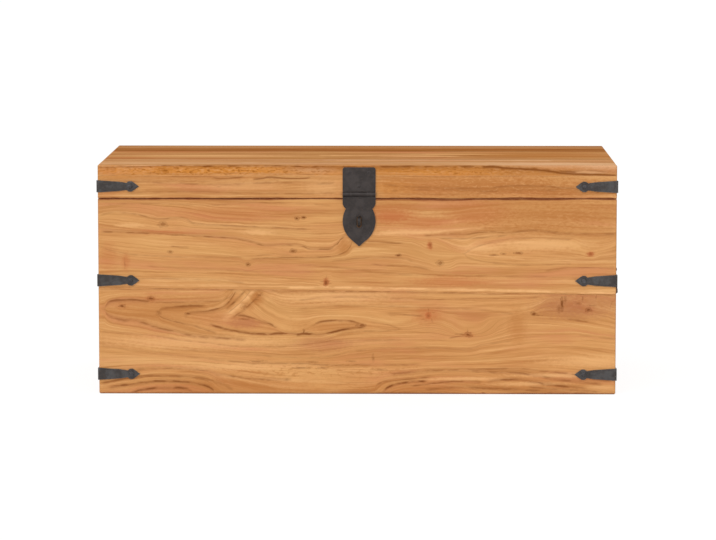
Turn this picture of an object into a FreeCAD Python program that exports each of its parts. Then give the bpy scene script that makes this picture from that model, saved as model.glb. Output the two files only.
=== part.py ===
import FreeCAD, Part
import math
import os

from FreeCAD import Vector

os.makedirs("parts", exist_ok=True)

# Storage chest of edge-jointed boards with a boxed lid and forged iron fittings.
# Millimetres. The origin is the middle of the footprint on the ground, +Z is up,
# the front faces -Y and the chest is long in X.

# Overall sizes
chest_width = 900.0
chest_depth = 450.0
chest_height = 400.0
board_thickness = 18.0

# Rounding of the timber
corner_round = 2.6
foot_round = 2.0
parting_round = 1.0
joint_ease = 0.6

# Walls: the front joint was planed a little out of level, the others run level
front_joint_left_height = 186.0
front_joint_right_height = 175.0
plain_joint_height = 183.0

# Lid
lid_rail_height = 40.0
lid_board_thickness = 18.0
lid_front_board_width = 130.0
lid_back_board_width = 140.0
lid_top_round = 2.0
parting_gap = 0.3
lid_opening_angle = 100.0
lid_stop_spare_angle = 1.0

# Battens and the floor of the box
floor_board_thickness = 15.0
floor_board_count = 3
floor_batten_height = 12.0
floor_batten_width = 60.0
floor_batten_inset = 122.0
lid_batten_thickness = 15.0
lid_batten_width = 45.0
lid_batten_inset = 177.0

# Square cut nails that hold the battens, punched a little below the face
board_nail_half = 2.0
board_nail_sink = 0.5
board_nail_bite = 9.0

# Corner straps
strap_reach = 71.5
strap_height = 21.0
strap_thickness = 2.0
strap_bend = 1.7
low_strap_height = 35.0
mid_strap_height = 199.0
lid_strap_rise = 21.0
strap_nail_share = 0.785
# Along the wing from the corner, then half height against the half height at the corner:
# waist, neck, two points round the head, barb
strap_outline_shares = (
    (0.53, 0.76),
    (0.70, 0.57),
    (0.751, 0.84),
    (0.823, 0.86),
    (0.885, 0.60),
)

# Rose-headed nails: a hammered dome of flats on a square shank
nail_head_radius = 4.6
nail_head_height = 2.4
nail_head_sides = 7
nail_crown_shares = (0.66, 0.68)
nail_half = 1.3
nail_bite_share = 0.62
nail_clearance = 0.05

# Hasp on the middle of the front
hasp_offset = 3.5
hasp_width = 57.0
hasp_metal = 2.0
hasp_axis_rise = 8.0
hasp_plate_height = 46.5
hasp_plate_round = 4.0
hasp_leaf_length = 91.0
hasp_knuckle_radius = 4.0
hasp_pin_radius = 1.9
hasp_rest_gap = 0.3
hasp_roll_set = 0.1
knuckle_side_gap = 0.25
knuckle_turn_gap = 0.4
pin_clearance = 0.05
# Half width against the leaf's half width, then drop against the leaf's length
leaf_shoulder_shares = (1.0, 0.17)
leaf_shoulder_curve_shares = (0.94, 0.232)
leaf_cusp_shares = (0.80, 0.278)
leaf_belly_shares = (1.0, 0.497)
leaf_lower_shares = (0.495, 0.865)
plate_nail_side_inset = 11.5
plate_nail_top_inset = 9.0
plate_nail_low_rise = 14.0
plate_nail_head_radius = 3.2
plate_nail_head_height = 0.9

# Staple that the hasp drops over
staple_drop = 47.0
staple_bar = 5.0
staple_half_gap = 3.6
staple_stand = 16.5
staple_clearance = 0.1
staple_clinch_width = 7.0
staple_clinch_height = 1.8
slot_half_width = 4.5
slot_over = 1.2
slot_under = 3.0

# Drop handles on the two ends, a little above the joint between their boards
handle_rise = 17.0
handle_eye_spacing = 100.0
handle_pivot_stand = 6.0
handle_pivot_radius = 3.0
handle_eye_radius = 5.8
handle_eye_sides = 8
handle_eye_width = 6.0
handle_collar_width = 18.0
handle_rest_gap = 0.3
handle_leg_height = 5.0
handle_leg_clearance = 0.1
handle_peen_width = 10.0
handle_peen_height = 2.0
bail_side_gap = 0.6
bail_tail = 2.0
bail_neck = 11.0
bail_drop = 42.0
bail_lean = 5.0
bail_flare = 9.0
bail_pivot_bend = 4.5
bail_neck_bend = 18.0
bail_corner_bend = 11.0
bail_bar_radius = 3.4
bail_bar_sides = 8
bend_step_angle = 31.0
grip_radius = 4.7
grip_length = 60.0

# Butt hinges let into the back edge, with the pin in the line where lid and box part
hinge_end_distance = 150.0
hinge_length = 60.0
hinge_inset = 5.0
hinge_leaf_width = 11.4
hinge_leaf_thickness = 1.8
hinge_barrel_radius = 3.5
hinge_pin_radius = 1.6
hinge_knuckle_count = 3
hinge_knuckle_sides = 12
hinge_notch_gap = 0.5
hinge_notch_overrun = 1.0
hinge_nail_spacing = 40.0
hinge_nail_count = 2
hinge_nail_set = 7.8
hinge_nail_half = 1.1
hinge_nail_head_half = 2.2
hinge_nail_head_height = 1.1
hinge_nail_length = 13.0

# Overrun of cutting tools past what they cut, and the tolerance when picking edges
cut_overrun = 5.0
pick_tolerance = 0.001

# Worked out from the sizes above
half_width = chest_width / 2
half_depth = chest_depth / 2
inner_half_width = half_width - board_thickness
inner_half_depth = half_depth - board_thickness
lid_board_floor = chest_height - lid_board_thickness
lid_floor = lid_board_floor - lid_rail_height
wall_height = lid_floor - parting_gap
parting_height = wall_height + parting_gap / 2
lid_strap_height = lid_floor + lid_strap_rise
strap_nail_reach = strap_reach * strap_nail_share
nail_bite = board_thickness * nail_bite_share
hasp_axis_height = lid_floor + hasp_axis_rise
hasp_axis_stand = hasp_rest_gap + hasp_knuckle_radius
hasp_half_width = hasp_width / 2
staple_height = hasp_axis_height - staple_drop
floor_batten_offset = inner_half_width - floor_batten_inset
lid_batten_offset = inner_half_width - lid_batten_inset
handle_height = plain_joint_height + handle_rise
hinge_offset = half_width - hinge_end_distance
hinge_axis_depth = half_depth - hinge_inset
hinge_bevel_angle = math.radians((lid_opening_angle + lid_stop_spare_angle) / 2)
hinge_bevel_drop = hinge_inset * math.tan(hinge_bevel_angle)

corners = {
    "front_left": (-1, -1),
    "front_right": (1, -1),
    "back_left": (-1, 1),
    "back_right": (1, 1),
}
along_x = Vector(1, 0, 0)
along_y = Vector(0, 1, 0)
along_z = Vector(0, 0, 1)
middle = Vector(0, 0, 0)
pieces = {}


# Small tools

def block(low, high):
    size = high - low
    return Part.makeBox(size.x, size.y, size.z, low)


def round_bar(start, direction, radius, length):
    return Part.makeCylinder(radius, length, start, direction)


def flat_solid(points, sweep):
    wire = Part.makePolygon(points + [points[0]])
    return Part.Face(wire).extrude(sweep)


def picked(shape, picks):
    # the edges whose two ends and middle all pass the test
    chosen = []
    for edge in shape.Edges:
        first = edge.FirstParameter
        last = edge.LastParameter
        if all(picks(edge.valueAt(spot)) for spot in (first, (first + last) / 2, last)):
            chosen.append(edge)
    return chosen


def ease(shape, radius, picks):
    return shape.makeFillet(radius, picked(shape, picks))


def bevel(shape, size, picks):
    return shape.makeChamfer(size, picked(shape, picks))


def near(value, target):
    return abs(value - target) < pick_tolerance


def drilled(shape, tools):
    used = [tool for tool in tools if tool.BoundBox.intersect(shape.BoundBox)]
    return shape.cut(used) if used else shape


def group(shapes):
    return Part.makeCompound(shapes)


def mirrored(shape, normal):
    return shape.mirror(middle, normal)


def at_corner(shape, corner):
    side, end = corner
    shape = mirrored(shape, along_x) if side > 0 else shape
    return mirrored(shape, along_y) if end > 0 else shape


def across(direction):
    # two unit directions square to a bar that runs along X, Y or Z
    side = along_z if abs(direction.z) < abs(direction.x) + abs(direction.y) else along_x
    return side, direction.cross(side)


def square_ring(centre, direction, half):
    side, other = across(direction)
    signs = ((-1, -1), (1, -1), (1, 1), (-1, 1))
    return [centre + side * (a * half) + other * (b * half) for a, b in signs]


def even_ring(centre, direction, radius, count):
    # corners of an even polygon, flats square to the bar's own directions
    side, other = across(direction)
    ring = []
    for i in range(count):
        turn = math.pi * (2 * i + 1) / count
        ring.append(centre + side * (radius * math.cos(turn)) + other * (radius * math.sin(turn)))
    return ring


def polygon_face(points):
    return Part.Face(Part.makePolygon(points + [points[0]]))


def tapered_solid(rings, point=None):
    # flat-sided solid through rings of equally many corners, closed by a cap or a point
    faces = [polygon_face(rings[0])]
    for low, high in zip(rings, rings[1:]):
        for i in range(len(low)):
            faces.append(polygon_face([low[i - 1], low[i], high[i], high[i - 1]]))
    if point:
        last = rings[-1]
        faces += [polygon_face([last[i - 1], last[i], point]) for i in range(len(last))]
    else:
        faces.append(polygon_face(rings[-1]))
    solid = Part.Solid(Part.makeShell(faces))
    return solid if solid.Volume > 0 else solid.reversed()


def square_bar(start, direction, half, length):
    return tapered_solid(
        [square_ring(start, direction, half), square_ring(start + direction * length, direction, half)]
    )


def flush_nail(surface, direction, sizes, spare=0.0):
    half, head_half, head_height, length = sizes
    return tapered_solid(
        [
            square_ring(surface, direction, head_half + spare),
            square_ring(surface + direction * head_height, direction, half + spare),
            square_ring(surface + direction * (length + spare), direction, half + spare),
        ]
    )


def rounded_points(points, radii):
    # the path's own points with each corner replaced by a few points on an arc
    path = [points[0]]
    for before, corner, after, radius in zip(points, points[1:], points[2:], radii):
        to_before = (before - corner).normalize()
        to_after = (after - corner).normalize()
        half_turn = to_before.getAngle(to_after) / 2
        inward = (to_before + to_after).normalize()
        centre = corner + inward * (radius / math.sin(half_turn))
        first = corner + to_before * (radius / math.tan(half_turn)) - centre
        last = corner + to_after * (radius / math.tan(half_turn)) - centre
        sweep = first.getAngle(last)
        steps = math.ceil(sweep / math.radians(bend_step_angle))
        for i in range(steps + 1):
            turn = sweep * i / steps
            spoke = first * math.sin(sweep - turn) + last * math.sin(turn)
            path.append(centre + spoke / math.sin(sweep))
    return path + [points[-1]]


def bar_rings(path, radius, sides):
    # one ring of corners at each point, lying in the mitre between the bars that meet there
    heading = (path[1] - path[0]).normalize()
    rings = [even_ring(path[0], heading, radius, sides)]
    for before, here, after in zip(path, path[1:], path[2:]):
        heading = (here - before).normalize()
        mitre = heading + (after - here).normalize()
        rings.append([c + heading * (mitre.dot(here - c) / mitre.dot(heading)) for c in rings[-1]])
    heading = (path[-1] - path[-2]).normalize()
    rings.append([c + heading * heading.dot(path[-1] - c) for c in rings[-1]])
    return rings


def swollen(ring, centre, share):
    return [centre + (corner - centre) * share for corner in ring]


# Nails

def rose_nail(surface, direction, head_radius, head_height, shank_length):
    crown_radius = head_radius * nail_crown_shares[0]
    crown_height = head_height * nail_crown_shares[1]
    rim = even_ring(surface, direction, head_radius, nail_head_sides)
    crown = even_ring(surface - direction * crown_height, direction, crown_radius, nail_head_sides)
    head = tapered_solid([rim, crown], surface - direction * head_height)
    return head.fuse(square_bar(surface, direction, nail_half, shank_length))


def nail_hole(surface, direction, length):
    start = surface - direction * cut_overrun
    return square_bar(start, direction, nail_half + nail_clearance, length + cut_overrun)


def strap_nail_sites(height):
    sites = []
    for side, end in corners.values():
        long_face = Vector(side * (half_width - strap_nail_reach), end * half_depth, height)
        short_face = Vector(side * half_width, end * (half_depth - strap_nail_reach), height)
        sites.append((long_face, Vector(0, -end, 0)))
        sites.append((short_face, Vector(-side, 0, 0)))
    return sites


def strap_nails(sites):
    length = strap_thickness + nail_bite
    heads = []
    for wood, direction in sites:
        surface = wood - direction * strap_thickness
        heads.append(rose_nail(surface, direction, nail_head_radius, nail_head_height, length))
    return group(heads)


def strap_nail_holes(sites):
    return [nail_hole(wood, direction, nail_bite + nail_clearance) for wood, direction in sites]


# Corner straps: two spear-ended wings round one upright edge

def wing(place, sweep):
    # place turns a distance along the wing and a height into a point
    def half(sign):
        shares = ((0, 1),) + strap_outline_shares
        return [place(strap_reach * a, sign * strap_height / 2 * b) for a, b in shares]

    root = [place(-strap_thickness, sign * strap_height / 2) for sign in (-1, 1)]
    tip = place(strap_reach, 0)
    return flat_solid(root + half(1) + [tip] + half(-1)[::-1], sweep)


def corner_strap(height):
    def along_front(reach, rise):
        return Vector(-half_width + reach, -half_depth, height + rise)

    def along_end(reach, rise):
        return Vector(-half_width, -half_depth + reach, height + rise)

    front_wing = wing(along_front, Vector(0, -strap_thickness, 0))
    end_wing = wing(along_end, Vector(-strap_thickness, 0, 0))
    strap = front_wing.fuse(end_wing).removeSplitter()

    def outer_corner(point):
        outer_x = near(point.x, -half_width - strap_thickness)
        outer_y = near(point.y, -half_depth - strap_thickness)
        return outer_x and outer_y

    return ease(strap, strap_bend, outer_corner)


def add_straps(prefix, height):
    holes = strap_nail_holes(strap_nail_sites(height))
    for name, corner in corners.items():
        pieces[f"{prefix}_{name}_strap"] = drilled(at_corner(corner_strap(height), corner), holes)


# Walls of the box

def front_joint(x):
    slope = (front_joint_right_height - front_joint_left_height) / chest_width
    return front_joint_left_height + (x + half_width) * slope


def long_board(left_low, right_low, left_high, right_high):
    points = [
        Vector(-half_width, -half_depth, left_low),
        Vector(half_width, -half_depth, right_low),
        Vector(half_width, -half_depth, right_high),
        Vector(-half_width, -half_depth, left_high),
    ]
    board = flat_solid(points, Vector(0, board_thickness, 0))
    return ease(board, corner_round, lambda p: near(p.y, -half_depth) and near(abs(p.x), half_width))


def around(board, size, shaper, level):
    # shapes the outer edge that lies at one level, round both ends of a long board
    def picks(point):
        return near(point.z, level(point.x)) and near(point.y, -half_depth)

    return shaper(board, size, picks)


def front_lower_board():
    board = long_board(0, 0, front_joint_left_height, front_joint_right_height)
    board = around(board, foot_round, bevel, lambda x: 0)
    return around(board, joint_ease, bevel, front_joint)


def front_upper_board():
    board = long_board(front_joint_left_height, front_joint_right_height, wall_height, wall_height)
    board = around(board, parting_round, bevel, lambda x: wall_height)
    return around(board, joint_ease, bevel, front_joint)


def back_lower_board():
    board = long_board(0, 0, plain_joint_height, plain_joint_height)
    board = around(board, foot_round, bevel, lambda x: 0)
    board = around(board, joint_ease, bevel, lambda x: plain_joint_height)
    return mirrored(board, along_y)


def bevelled_back(low, high, bevel_at_top):
    # the back edge is cut away behind the hinge pin, and the two slopes meet as the lid's stop
    outer = -half_depth
    pin_line = outer + hinge_inset
    inner = -inner_half_depth
    if bevel_at_top:
        slope = [(outer, high - hinge_bevel_drop), (pin_line, high)]
        profile = [(inner, low), (outer, low)] + slope + [(inner, high)]
    else:
        slope = [(pin_line, low), (outer, low + hinge_bevel_drop)]
        profile = [(inner, low)] + slope + [(outer, high), (inner, high)]
    points = [Vector(-half_width, y, z) for y, z in profile]
    board = flat_solid(points, Vector(chest_width, 0, 0))
    return ease(board, corner_round, lambda p: near(p.y, outer) and near(abs(p.x), half_width))


def back_upper_board():
    board = bevelled_back(plain_joint_height, wall_height, True)
    board = around(board, joint_ease, bevel, lambda x: plain_joint_height)
    return mirrored(board, along_y)


def end_board(low, high):
    # the left end; the right end is its mirror image
    return block(
        Vector(-half_width, -inner_half_depth, low), Vector(-inner_half_width, inner_half_depth, high)
    )


def outer_long_edge(level):
    return lambda p: near(p.x, -half_width) and near(p.z, level)


def end_lower_board():
    board = bevel(end_board(0, plain_joint_height), foot_round, outer_long_edge(0))
    return bevel(board, joint_ease, outer_long_edge(plain_joint_height))


def end_upper_board():
    board = bevel(end_board(plain_joint_height, wall_height), parting_round, outer_long_edge(wall_height))
    return bevel(board, joint_ease, outer_long_edge(plain_joint_height))


# Floor of the box, with its battens and nails

def floor_spans():
    width = 2 * inner_half_depth / floor_board_count
    edges = [-inner_half_depth + width * i for i in range(floor_board_count + 1)]
    return list(zip(edges, edges[1:]))


def batten_places(offset, with_middle):
    return (-offset, 0, offset) if with_middle else (-offset, offset)


def nail_places(places, spans, level):
    return [Vector(x, (low + high) / 2, level) for x in places for low, high in spans]


def batten_nails(sites, batten):
    length = batten - board_nail_sink + board_nail_bite
    return [square_bar(site, along_z, board_nail_half, length) for site in sites]


def batten_nail_holes(sites, batten):
    half = board_nail_half + nail_clearance
    length = cut_overrun + batten - board_nail_sink + board_nail_bite + nail_clearance
    return [square_bar(site - along_z * cut_overrun, along_z, half, length) for site in sites]


def add_floor():
    floor_level = floor_batten_height
    sites = nail_places(batten_places(floor_batten_offset, True), floor_spans(), board_nail_sink)
    holes = batten_nail_holes(sites, floor_batten_height)
    for name, (low, high) in zip(("front", "middle", "back"), floor_spans()):
        board = block(
            Vector(-inner_half_width, low, floor_level),
            Vector(inner_half_width, high, floor_level + floor_board_thickness),
        )
        pieces[f"bottom_{name}_board"] = drilled(board, holes)
    for name, x in zip(("left", "middle", "right"), batten_places(floor_batten_offset, True)):
        batten = block(
            Vector(x - floor_batten_width / 2, -inner_half_depth, 0),
            Vector(x + floor_batten_width / 2, inner_half_depth, floor_batten_height),
        )
        pieces[f"bottom_{name}_batten"] = drilled(batten, holes)
    pieces["bottom_nails"] = group(batten_nails(sites, floor_batten_height))


# Lid: three boards over four rails, held by two battens

def lid_spans():
    front_joint_line = -half_depth + lid_front_board_width
    back_joint_line = half_depth - lid_back_board_width
    return [
        (-half_depth, front_joint_line),
        (front_joint_line, back_joint_line),
        (back_joint_line, half_depth),
    ]


def lid_board(low, high):
    board = block(Vector(-half_width, low, lid_board_floor), Vector(half_width, high, chest_height))
    outer = [y for y in (low, high) if near(abs(y), half_depth)]
    if outer:
        board = ease(board, corner_round, lambda p: near(p.y, outer[0]) and near(abs(p.x), half_width))

    def top_edges(point):
        rim = near(abs(point.x), half_width) or (outer and near(point.y, outer[0]))
        return near(point.z, chest_height) and rim

    board = ease(board, lid_top_round, top_edges)
    return board


def lid_front_rail():
    board = long_board(lid_floor, lid_floor, lid_board_floor, lid_board_floor)
    return around(board, parting_round, bevel, lambda x: lid_floor)


def lid_back_rail():
    return mirrored(bevelled_back(lid_floor, lid_board_floor, False), along_y)


def lid_end_rail():
    return bevel(end_board(lid_floor, lid_board_floor), parting_round, outer_long_edge(lid_floor))


def add_lid_boards(plate_holes):
    batten_floor = lid_board_floor - lid_batten_thickness
    inner_spans = [(max(a, -inner_half_depth), min(b, inner_half_depth)) for a, b in lid_spans()]
    places = batten_places(lid_batten_offset, False)
    sites = nail_places(places, inner_spans, batten_floor + board_nail_sink)
    holes = batten_nail_holes(sites, lid_batten_thickness)
    for name, (low, high) in zip(("front", "middle", "back"), lid_spans()):
        pieces[f"lid_{name}_board"] = drilled(lid_board(low, high), holes + plate_holes)
    for name, x in zip(("left", "right"), places):
        batten = block(
            Vector(x - lid_batten_width / 2, -inner_half_depth, batten_floor),
            Vector(x + lid_batten_width / 2, inner_half_depth, lid_board_floor),
        )
        pieces[f"lid_{name}_batten"] = drilled(batten, holes)
    pieces["lid_batten_nails"] = group(batten_nails(sites, lid_batten_thickness))


# Hasp: plate on the lid, rolled knuckles, pin and a spade-shaped leaf

def hasp_point(x, stand, height):
    # stand is the distance out from the front of the wood
    return Vector(hasp_offset + x, -half_depth - stand, height)


def hasp_barrel(low, high, radius):
    start = hasp_point(low, hasp_axis_stand, hasp_axis_height)
    return round_bar(start, along_x, radius, high - low)


def hasp_bore():
    radius = hasp_pin_radius + pin_clearance
    return hasp_barrel(-hasp_half_width - cut_overrun, hasp_half_width + cut_overrun, radius)


def hasp_window(low, high):
    # the notch in a leaf where the other leaf's knuckle turns
    swing = hasp_knuckle_radius + knuckle_turn_gap
    return block(
        hasp_point(low, hasp_axis_stand + swing, hasp_axis_height - swing),
        hasp_point(high, -swing, hasp_axis_height + swing),
    )


def plate_nail_sites():
    side = hasp_half_width - plate_nail_side_inset
    top = hasp_axis_height + hasp_plate_height - plate_nail_top_inset
    low = hasp_axis_height + plate_nail_low_rise
    return [hasp_point(-side, 0, top), hasp_point(side, 0, top), hasp_point(0, 0, low)]


def hasp_plate():
    top = hasp_axis_height + hasp_plate_height
    plate = block(
        hasp_point(-hasp_half_width, hasp_metal, hasp_axis_height), hasp_point(hasp_half_width, 0, top)
    )
    plate = ease(
        plate, hasp_plate_round, lambda p: near(p.z, top) and near(abs(p.x - hasp_offset), hasp_half_width)
    )
    inner = hasp_half_width / 2
    window = hasp_window(-inner - knuckle_side_gap, inner + knuckle_side_gap)
    left_roll = hasp_barrel(-hasp_half_width, -inner - knuckle_side_gap, hasp_knuckle_radius)
    right_roll = hasp_barrel(inner + knuckle_side_gap, hasp_half_width, hasp_knuckle_radius)
    plate = plate.cut(window).fuse([left_roll, right_roll]).cut(hasp_bore())
    holes = [nail_hole(site, along_y, nail_bite) for site in plate_nail_sites()]
    return plate.cut(holes)


def plate_nails():
    heads = []
    for site in plate_nail_sites():
        surface = site - along_y * hasp_metal
        length = hasp_metal + nail_bite
        heads.append(rose_nail(surface, along_y, plate_nail_head_radius, plate_nail_head_height, length))
    return group(heads)


def leaf_outline(stand):
    def spot(shares, sign):
        drop = hasp_leaf_length * shares[1]
        return hasp_point(sign * hasp_half_width * shares[0], stand, hasp_axis_height - drop)

    def half(sign):
        top = hasp_point(sign * hasp_half_width, stand, hasp_axis_height)
        shoulder = spot(leaf_shoulder_shares, sign)
        shoulder_curve = spot(leaf_shoulder_curve_shares, sign)
        cusp = spot(leaf_cusp_shares, sign)
        belly = spot(leaf_belly_shares, sign)
        lower = spot(leaf_lower_shares, sign)
        tip = hasp_point(0, stand, hasp_axis_height - hasp_leaf_length)
        return [
            Part.LineSegment(top, shoulder).toShape(),
            Part.Arc(shoulder, shoulder_curve, cusp).toShape(),
            Part.Arc(cusp, belly, lower).toShape(),
            Part.LineSegment(lower, tip).toShape(),
        ]

    top_edge = Part.LineSegment(
        hasp_point(-hasp_half_width, stand, hasp_axis_height),
        hasp_point(hasp_half_width, stand, hasp_axis_height),
    ).toShape()
    return Part.Face(Part.Wire(Part.__sortEdges__(half(1) + half(-1) + [top_edge])))


def leaf_slot():
    # an upright slot with round ends, longer below so that the leaf can swing off the staple
    reach = staple_half_gap + staple_bar
    top = staple_height + reach + slot_over - slot_half_width
    low = staple_height - reach - slot_under + slot_half_width
    stand = hasp_axis_stand
    length = hasp_axis_stand + cut_overrun
    round_top = round_bar(hasp_point(0, stand + cut_overrun, top), along_y, slot_half_width, length)
    round_low = round_bar(hasp_point(0, stand + cut_overrun, low), along_y, slot_half_width, length)
    straight = block(
        hasp_point(-slot_half_width, stand + cut_overrun, low), hasp_point(slot_half_width, 0, top)
    )
    return straight.fuse([round_top, round_low])


def hasp_leaf():
    back = hasp_rest_gap + hasp_roll_set
    leaf = leaf_outline(back).extrude(Vector(0, -hasp_metal, 0))
    inner = hasp_half_width / 2
    left_window = hasp_window(-hasp_half_width - cut_overrun, -inner + knuckle_side_gap)
    right_window = hasp_window(inner - knuckle_side_gap, hasp_half_width + cut_overrun)
    roll = hasp_barrel(-inner + knuckle_side_gap, inner - knuckle_side_gap, hasp_knuckle_radius)
    leaf = leaf.cut([left_window, right_window]).fuse(roll)
    return leaf.cut([hasp_bore(), leaf_slot()])


def hasp_pin():
    return hasp_barrel(-hasp_half_width, hasp_half_width, hasp_pin_radius)


def staple():
    # square bar bent to a loop, its legs through the board and clinched up and down inside
    inside = -board_thickness - staple_clinch_height
    shoulder = staple_stand - staple_half_gap - staple_bar
    left = -staple_bar / 2
    outer = staple_loop(left, staple_half_gap + staple_bar, shoulder, inside)
    inner = staple_loop(left, staple_half_gap, shoulder, inside - cut_overrun)
    loop = outer.cut(inner)
    clinches = []
    for sign in (-1, 1):
        near_side = staple_height + sign * staple_half_gap
        far_side = staple_height + sign * (staple_half_gap + staple_bar + staple_clinch_width)
        low, high = sorted((near_side, far_side))
        clinches.append(
            block(hasp_point(left, -board_thickness, low), hasp_point(-left, inside, high))
        )
    return loop.fuse(clinches).removeSplitter()


def staple_loop(left, half_height, shoulder, inside):
    low = staple_height - half_height
    high = staple_height + half_height
    outline = [
        Part.LineSegment(hasp_point(left, inside, low), hasp_point(left, shoulder, low)).toShape(),
        Part.Arc(
            hasp_point(left, shoulder, low),
            hasp_point(left, shoulder + half_height, staple_height),
            hasp_point(left, shoulder, high),
        ).toShape(),
        Part.LineSegment(hasp_point(left, shoulder, high), hasp_point(left, inside, high)).toShape(),
        Part.LineSegment(hasp_point(left, inside, high), hasp_point(left, inside, low)).toShape(),
    ]
    return Part.Face(Part.Wire(outline)).extrude(Vector(staple_bar, 0, 0))


def staple_holes():
    half = staple_bar / 2 + staple_clearance
    length = board_thickness + 2 * cut_overrun
    rise = staple_half_gap + staple_bar / 2
    return [
        square_bar(hasp_point(0, cut_overrun, staple_height + sign * rise), along_y, half, length)
        for sign in (-1, 1)
    ]


# Drop handles: modelled on the right end, mirrored for the left

def end_point(stand, y, height):
    # stand is the distance out from the right end of the chest
    return Vector(half_width + stand, y, height)


def end_block(stand_low, stand_high, y, width, height):
    half = width / 2
    return block(
        end_point(stand_low, y - half, handle_height - height / 2),
        end_point(stand_high, y + half, handle_height + height / 2),
    )


def handle_eye(y):
    # a flat bar worked to an eye, with a square collar outside and a peened end inside
    collar_thickness = handle_pivot_stand - bail_bar_radius - handle_rest_gap
    inside = -board_thickness - handle_peen_height
    collar = end_block(0, collar_thickness, y, handle_collar_width, handle_collar_width)
    leg = end_block(inside, handle_pivot_stand, y, handle_eye_width, handle_leg_height)
    peen = end_block(inside, -board_thickness, y, handle_peen_width, handle_peen_width)
    edge = y - handle_eye_width / 2
    pivot = end_point(handle_pivot_stand, edge, handle_height)
    far_pivot = pivot + along_y * handle_eye_width
    ends = [even_ring(end, along_y, handle_eye_radius, handle_eye_sides) for end in (pivot, far_pivot)]
    ring = tapered_solid(ends)
    bore = round_bar(
        pivot - along_y * cut_overrun,
        along_y,
        handle_pivot_radius + pin_clearance,
        handle_eye_width + 2 * cut_overrun,
    )
    return collar.fuse([leg, peen, ring]).cut(bore).removeSplitter()


def handle_eyes():
    return group([handle_eye(end * handle_eye_spacing / 2) for end in (-1, 1)])


def handle_holes(side):
    # one slot for each leg, the leg's section and a clearance all round
    spare = handle_leg_clearance
    slots = [
        end_block(
            -board_thickness - cut_overrun,
            cut_overrun,
            end * handle_eye_spacing / 2,
            handle_eye_width + 2 * spare,
            handle_leg_height + 2 * spare,
        )
        for end in (-1, 1)
    ]
    return slots if side > 0 else [mirrored(slot, along_x) for slot in slots]


def handle_bail():
    # eight-sided bar with round pivot ends, leaning out to leave room for the fingers
    eye_face = handle_eye_spacing / 2 - handle_eye_width / 2
    arm = eye_face - bail_side_gap - bail_pivot_bend
    shoulder = eye_face - bail_side_gap / 2
    pivot = handle_pivot_stand
    low = handle_height - bail_drop
    half = [
        end_point(pivot, shoulder, handle_height),
        end_point(pivot, arm, handle_height),
        end_point(pivot, arm, handle_height - bail_neck),
        end_point(pivot + bail_lean, arm + bail_flare, low),
        end_point(pivot + bail_lean, 0, low),
    ]
    path = rounded_points(half, [bail_pivot_bend, bail_neck_bend, bail_corner_bend])
    rings = bar_rings(path, bail_bar_radius, bail_bar_sides)
    centre = path[-1]
    root = [corner + along_y * (grip_length / 2) for corner in rings[-1]]
    rings = rings[:-1] + [root, swollen(rings[-1], centre, grip_radius / bail_bar_radius)]
    bar = tapered_solid(rings)
    tail = round_bar(
        end_point(pivot, shoulder, handle_height),
        along_y,
        handle_pivot_radius,
        eye_face + handle_eye_width + bail_tail - shoulder,
    )
    one_side = bar.fuse(tail)
    return one_side.fuse(mirrored(one_side, along_y)).removeSplitter()


# Back hinges: leaves flush in the meeting edges, pin in the parting line

def hinge_point(x, inward, rise):
    return Vector(x, hinge_axis_depth - inward, parting_height + rise)


def hinge_bar(low, high, radius):
    return round_bar(hinge_point(low, 0, 0), along_x, radius, high - low)


def hinge_knuckle(low, high):
    ends = (hinge_point(low, 0, 0), hinge_point(high, 0, 0))
    return tapered_solid(
        [even_ring(end, along_x, hinge_barrel_radius, hinge_knuckle_sides) for end in ends]
    )


def hinge_spans(x):
    width = hinge_length / hinge_knuckle_count
    edges = [x - hinge_length / 2 + width * i for i in range(hinge_knuckle_count + 1)]
    return list(zip(edges, edges[1:]))


def hinge_leaf(x, upper):
    sign = 1 if upper else -1
    face = sign * parting_gap / 2
    back = face + sign * hinge_leaf_thickness
    leaf = block(
        hinge_point(x - hinge_length / 2, hinge_leaf_width, min(face, back)),
        hinge_point(x + hinge_length / 2, 0, max(face, back)),
    )
    spans = hinge_spans(x)
    own = spans[1::2] if upper else spans[0::2]
    other = spans[0::2] if upper else spans[1::2]
    swing = hinge_barrel_radius + knuckle_turn_gap
    gap = knuckle_side_gap
    windows = [
        block(hinge_point(low - gap, swing, -swing), hinge_point(high + gap, -swing, swing))
        for low, high in other
    ]
    rolls = [hinge_knuckle(low + gap, high - gap) for low, high in own]
    bore = hinge_bar(x - hinge_length, x + hinge_length, hinge_pin_radius + pin_clearance)
    return leaf.cut(windows).fuse(rolls).cut([bore] + hinge_nails(x, upper, nail_clearance))


def hinge_nails(x, upper, spare=0.0):
    sign = 1 if upper else -1
    sizes = (hinge_nail_half, hinge_nail_head_half, hinge_nail_head_height, hinge_nail_length)
    half_count = (hinge_nail_count - 1) / 2
    nails = []
    for i in range(hinge_nail_count):
        along = x + (i - half_count) * hinge_nail_spacing
        place = hinge_point(along, hinge_nail_set, sign * parting_gap / 2)
        nails.append(flush_nail(place, along_z * sign, sizes, spare))
    return nails


def hinge_mortises(upper):
    # room for the leaf, the barrel and the nails in one edge of the back
    sign = 1 if upper else -1
    tools = []
    for x in (-hinge_offset, hinge_offset):
        low = x - hinge_length / 2
        high = x + hinge_length / 2
        back = sign * (parting_gap / 2 + hinge_leaf_thickness)
        face = -sign * cut_overrun
        tools.append(
            block(
                hinge_point(low, board_thickness, min(face, back)), hinge_point(high, 0, max(face, back))
            )
        )
        notch = hinge_barrel_radius + hinge_notch_gap
        tools.append(hinge_bar(low - hinge_notch_overrun, high + hinge_notch_overrun, notch))
        tools += hinge_nails(x, upper, nail_clearance)
    return tools


def hinge_pin(x):
    return hinge_bar(x - hinge_length / 2, x + hinge_length / 2, hinge_pin_radius)


# Putting the chest together

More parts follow.
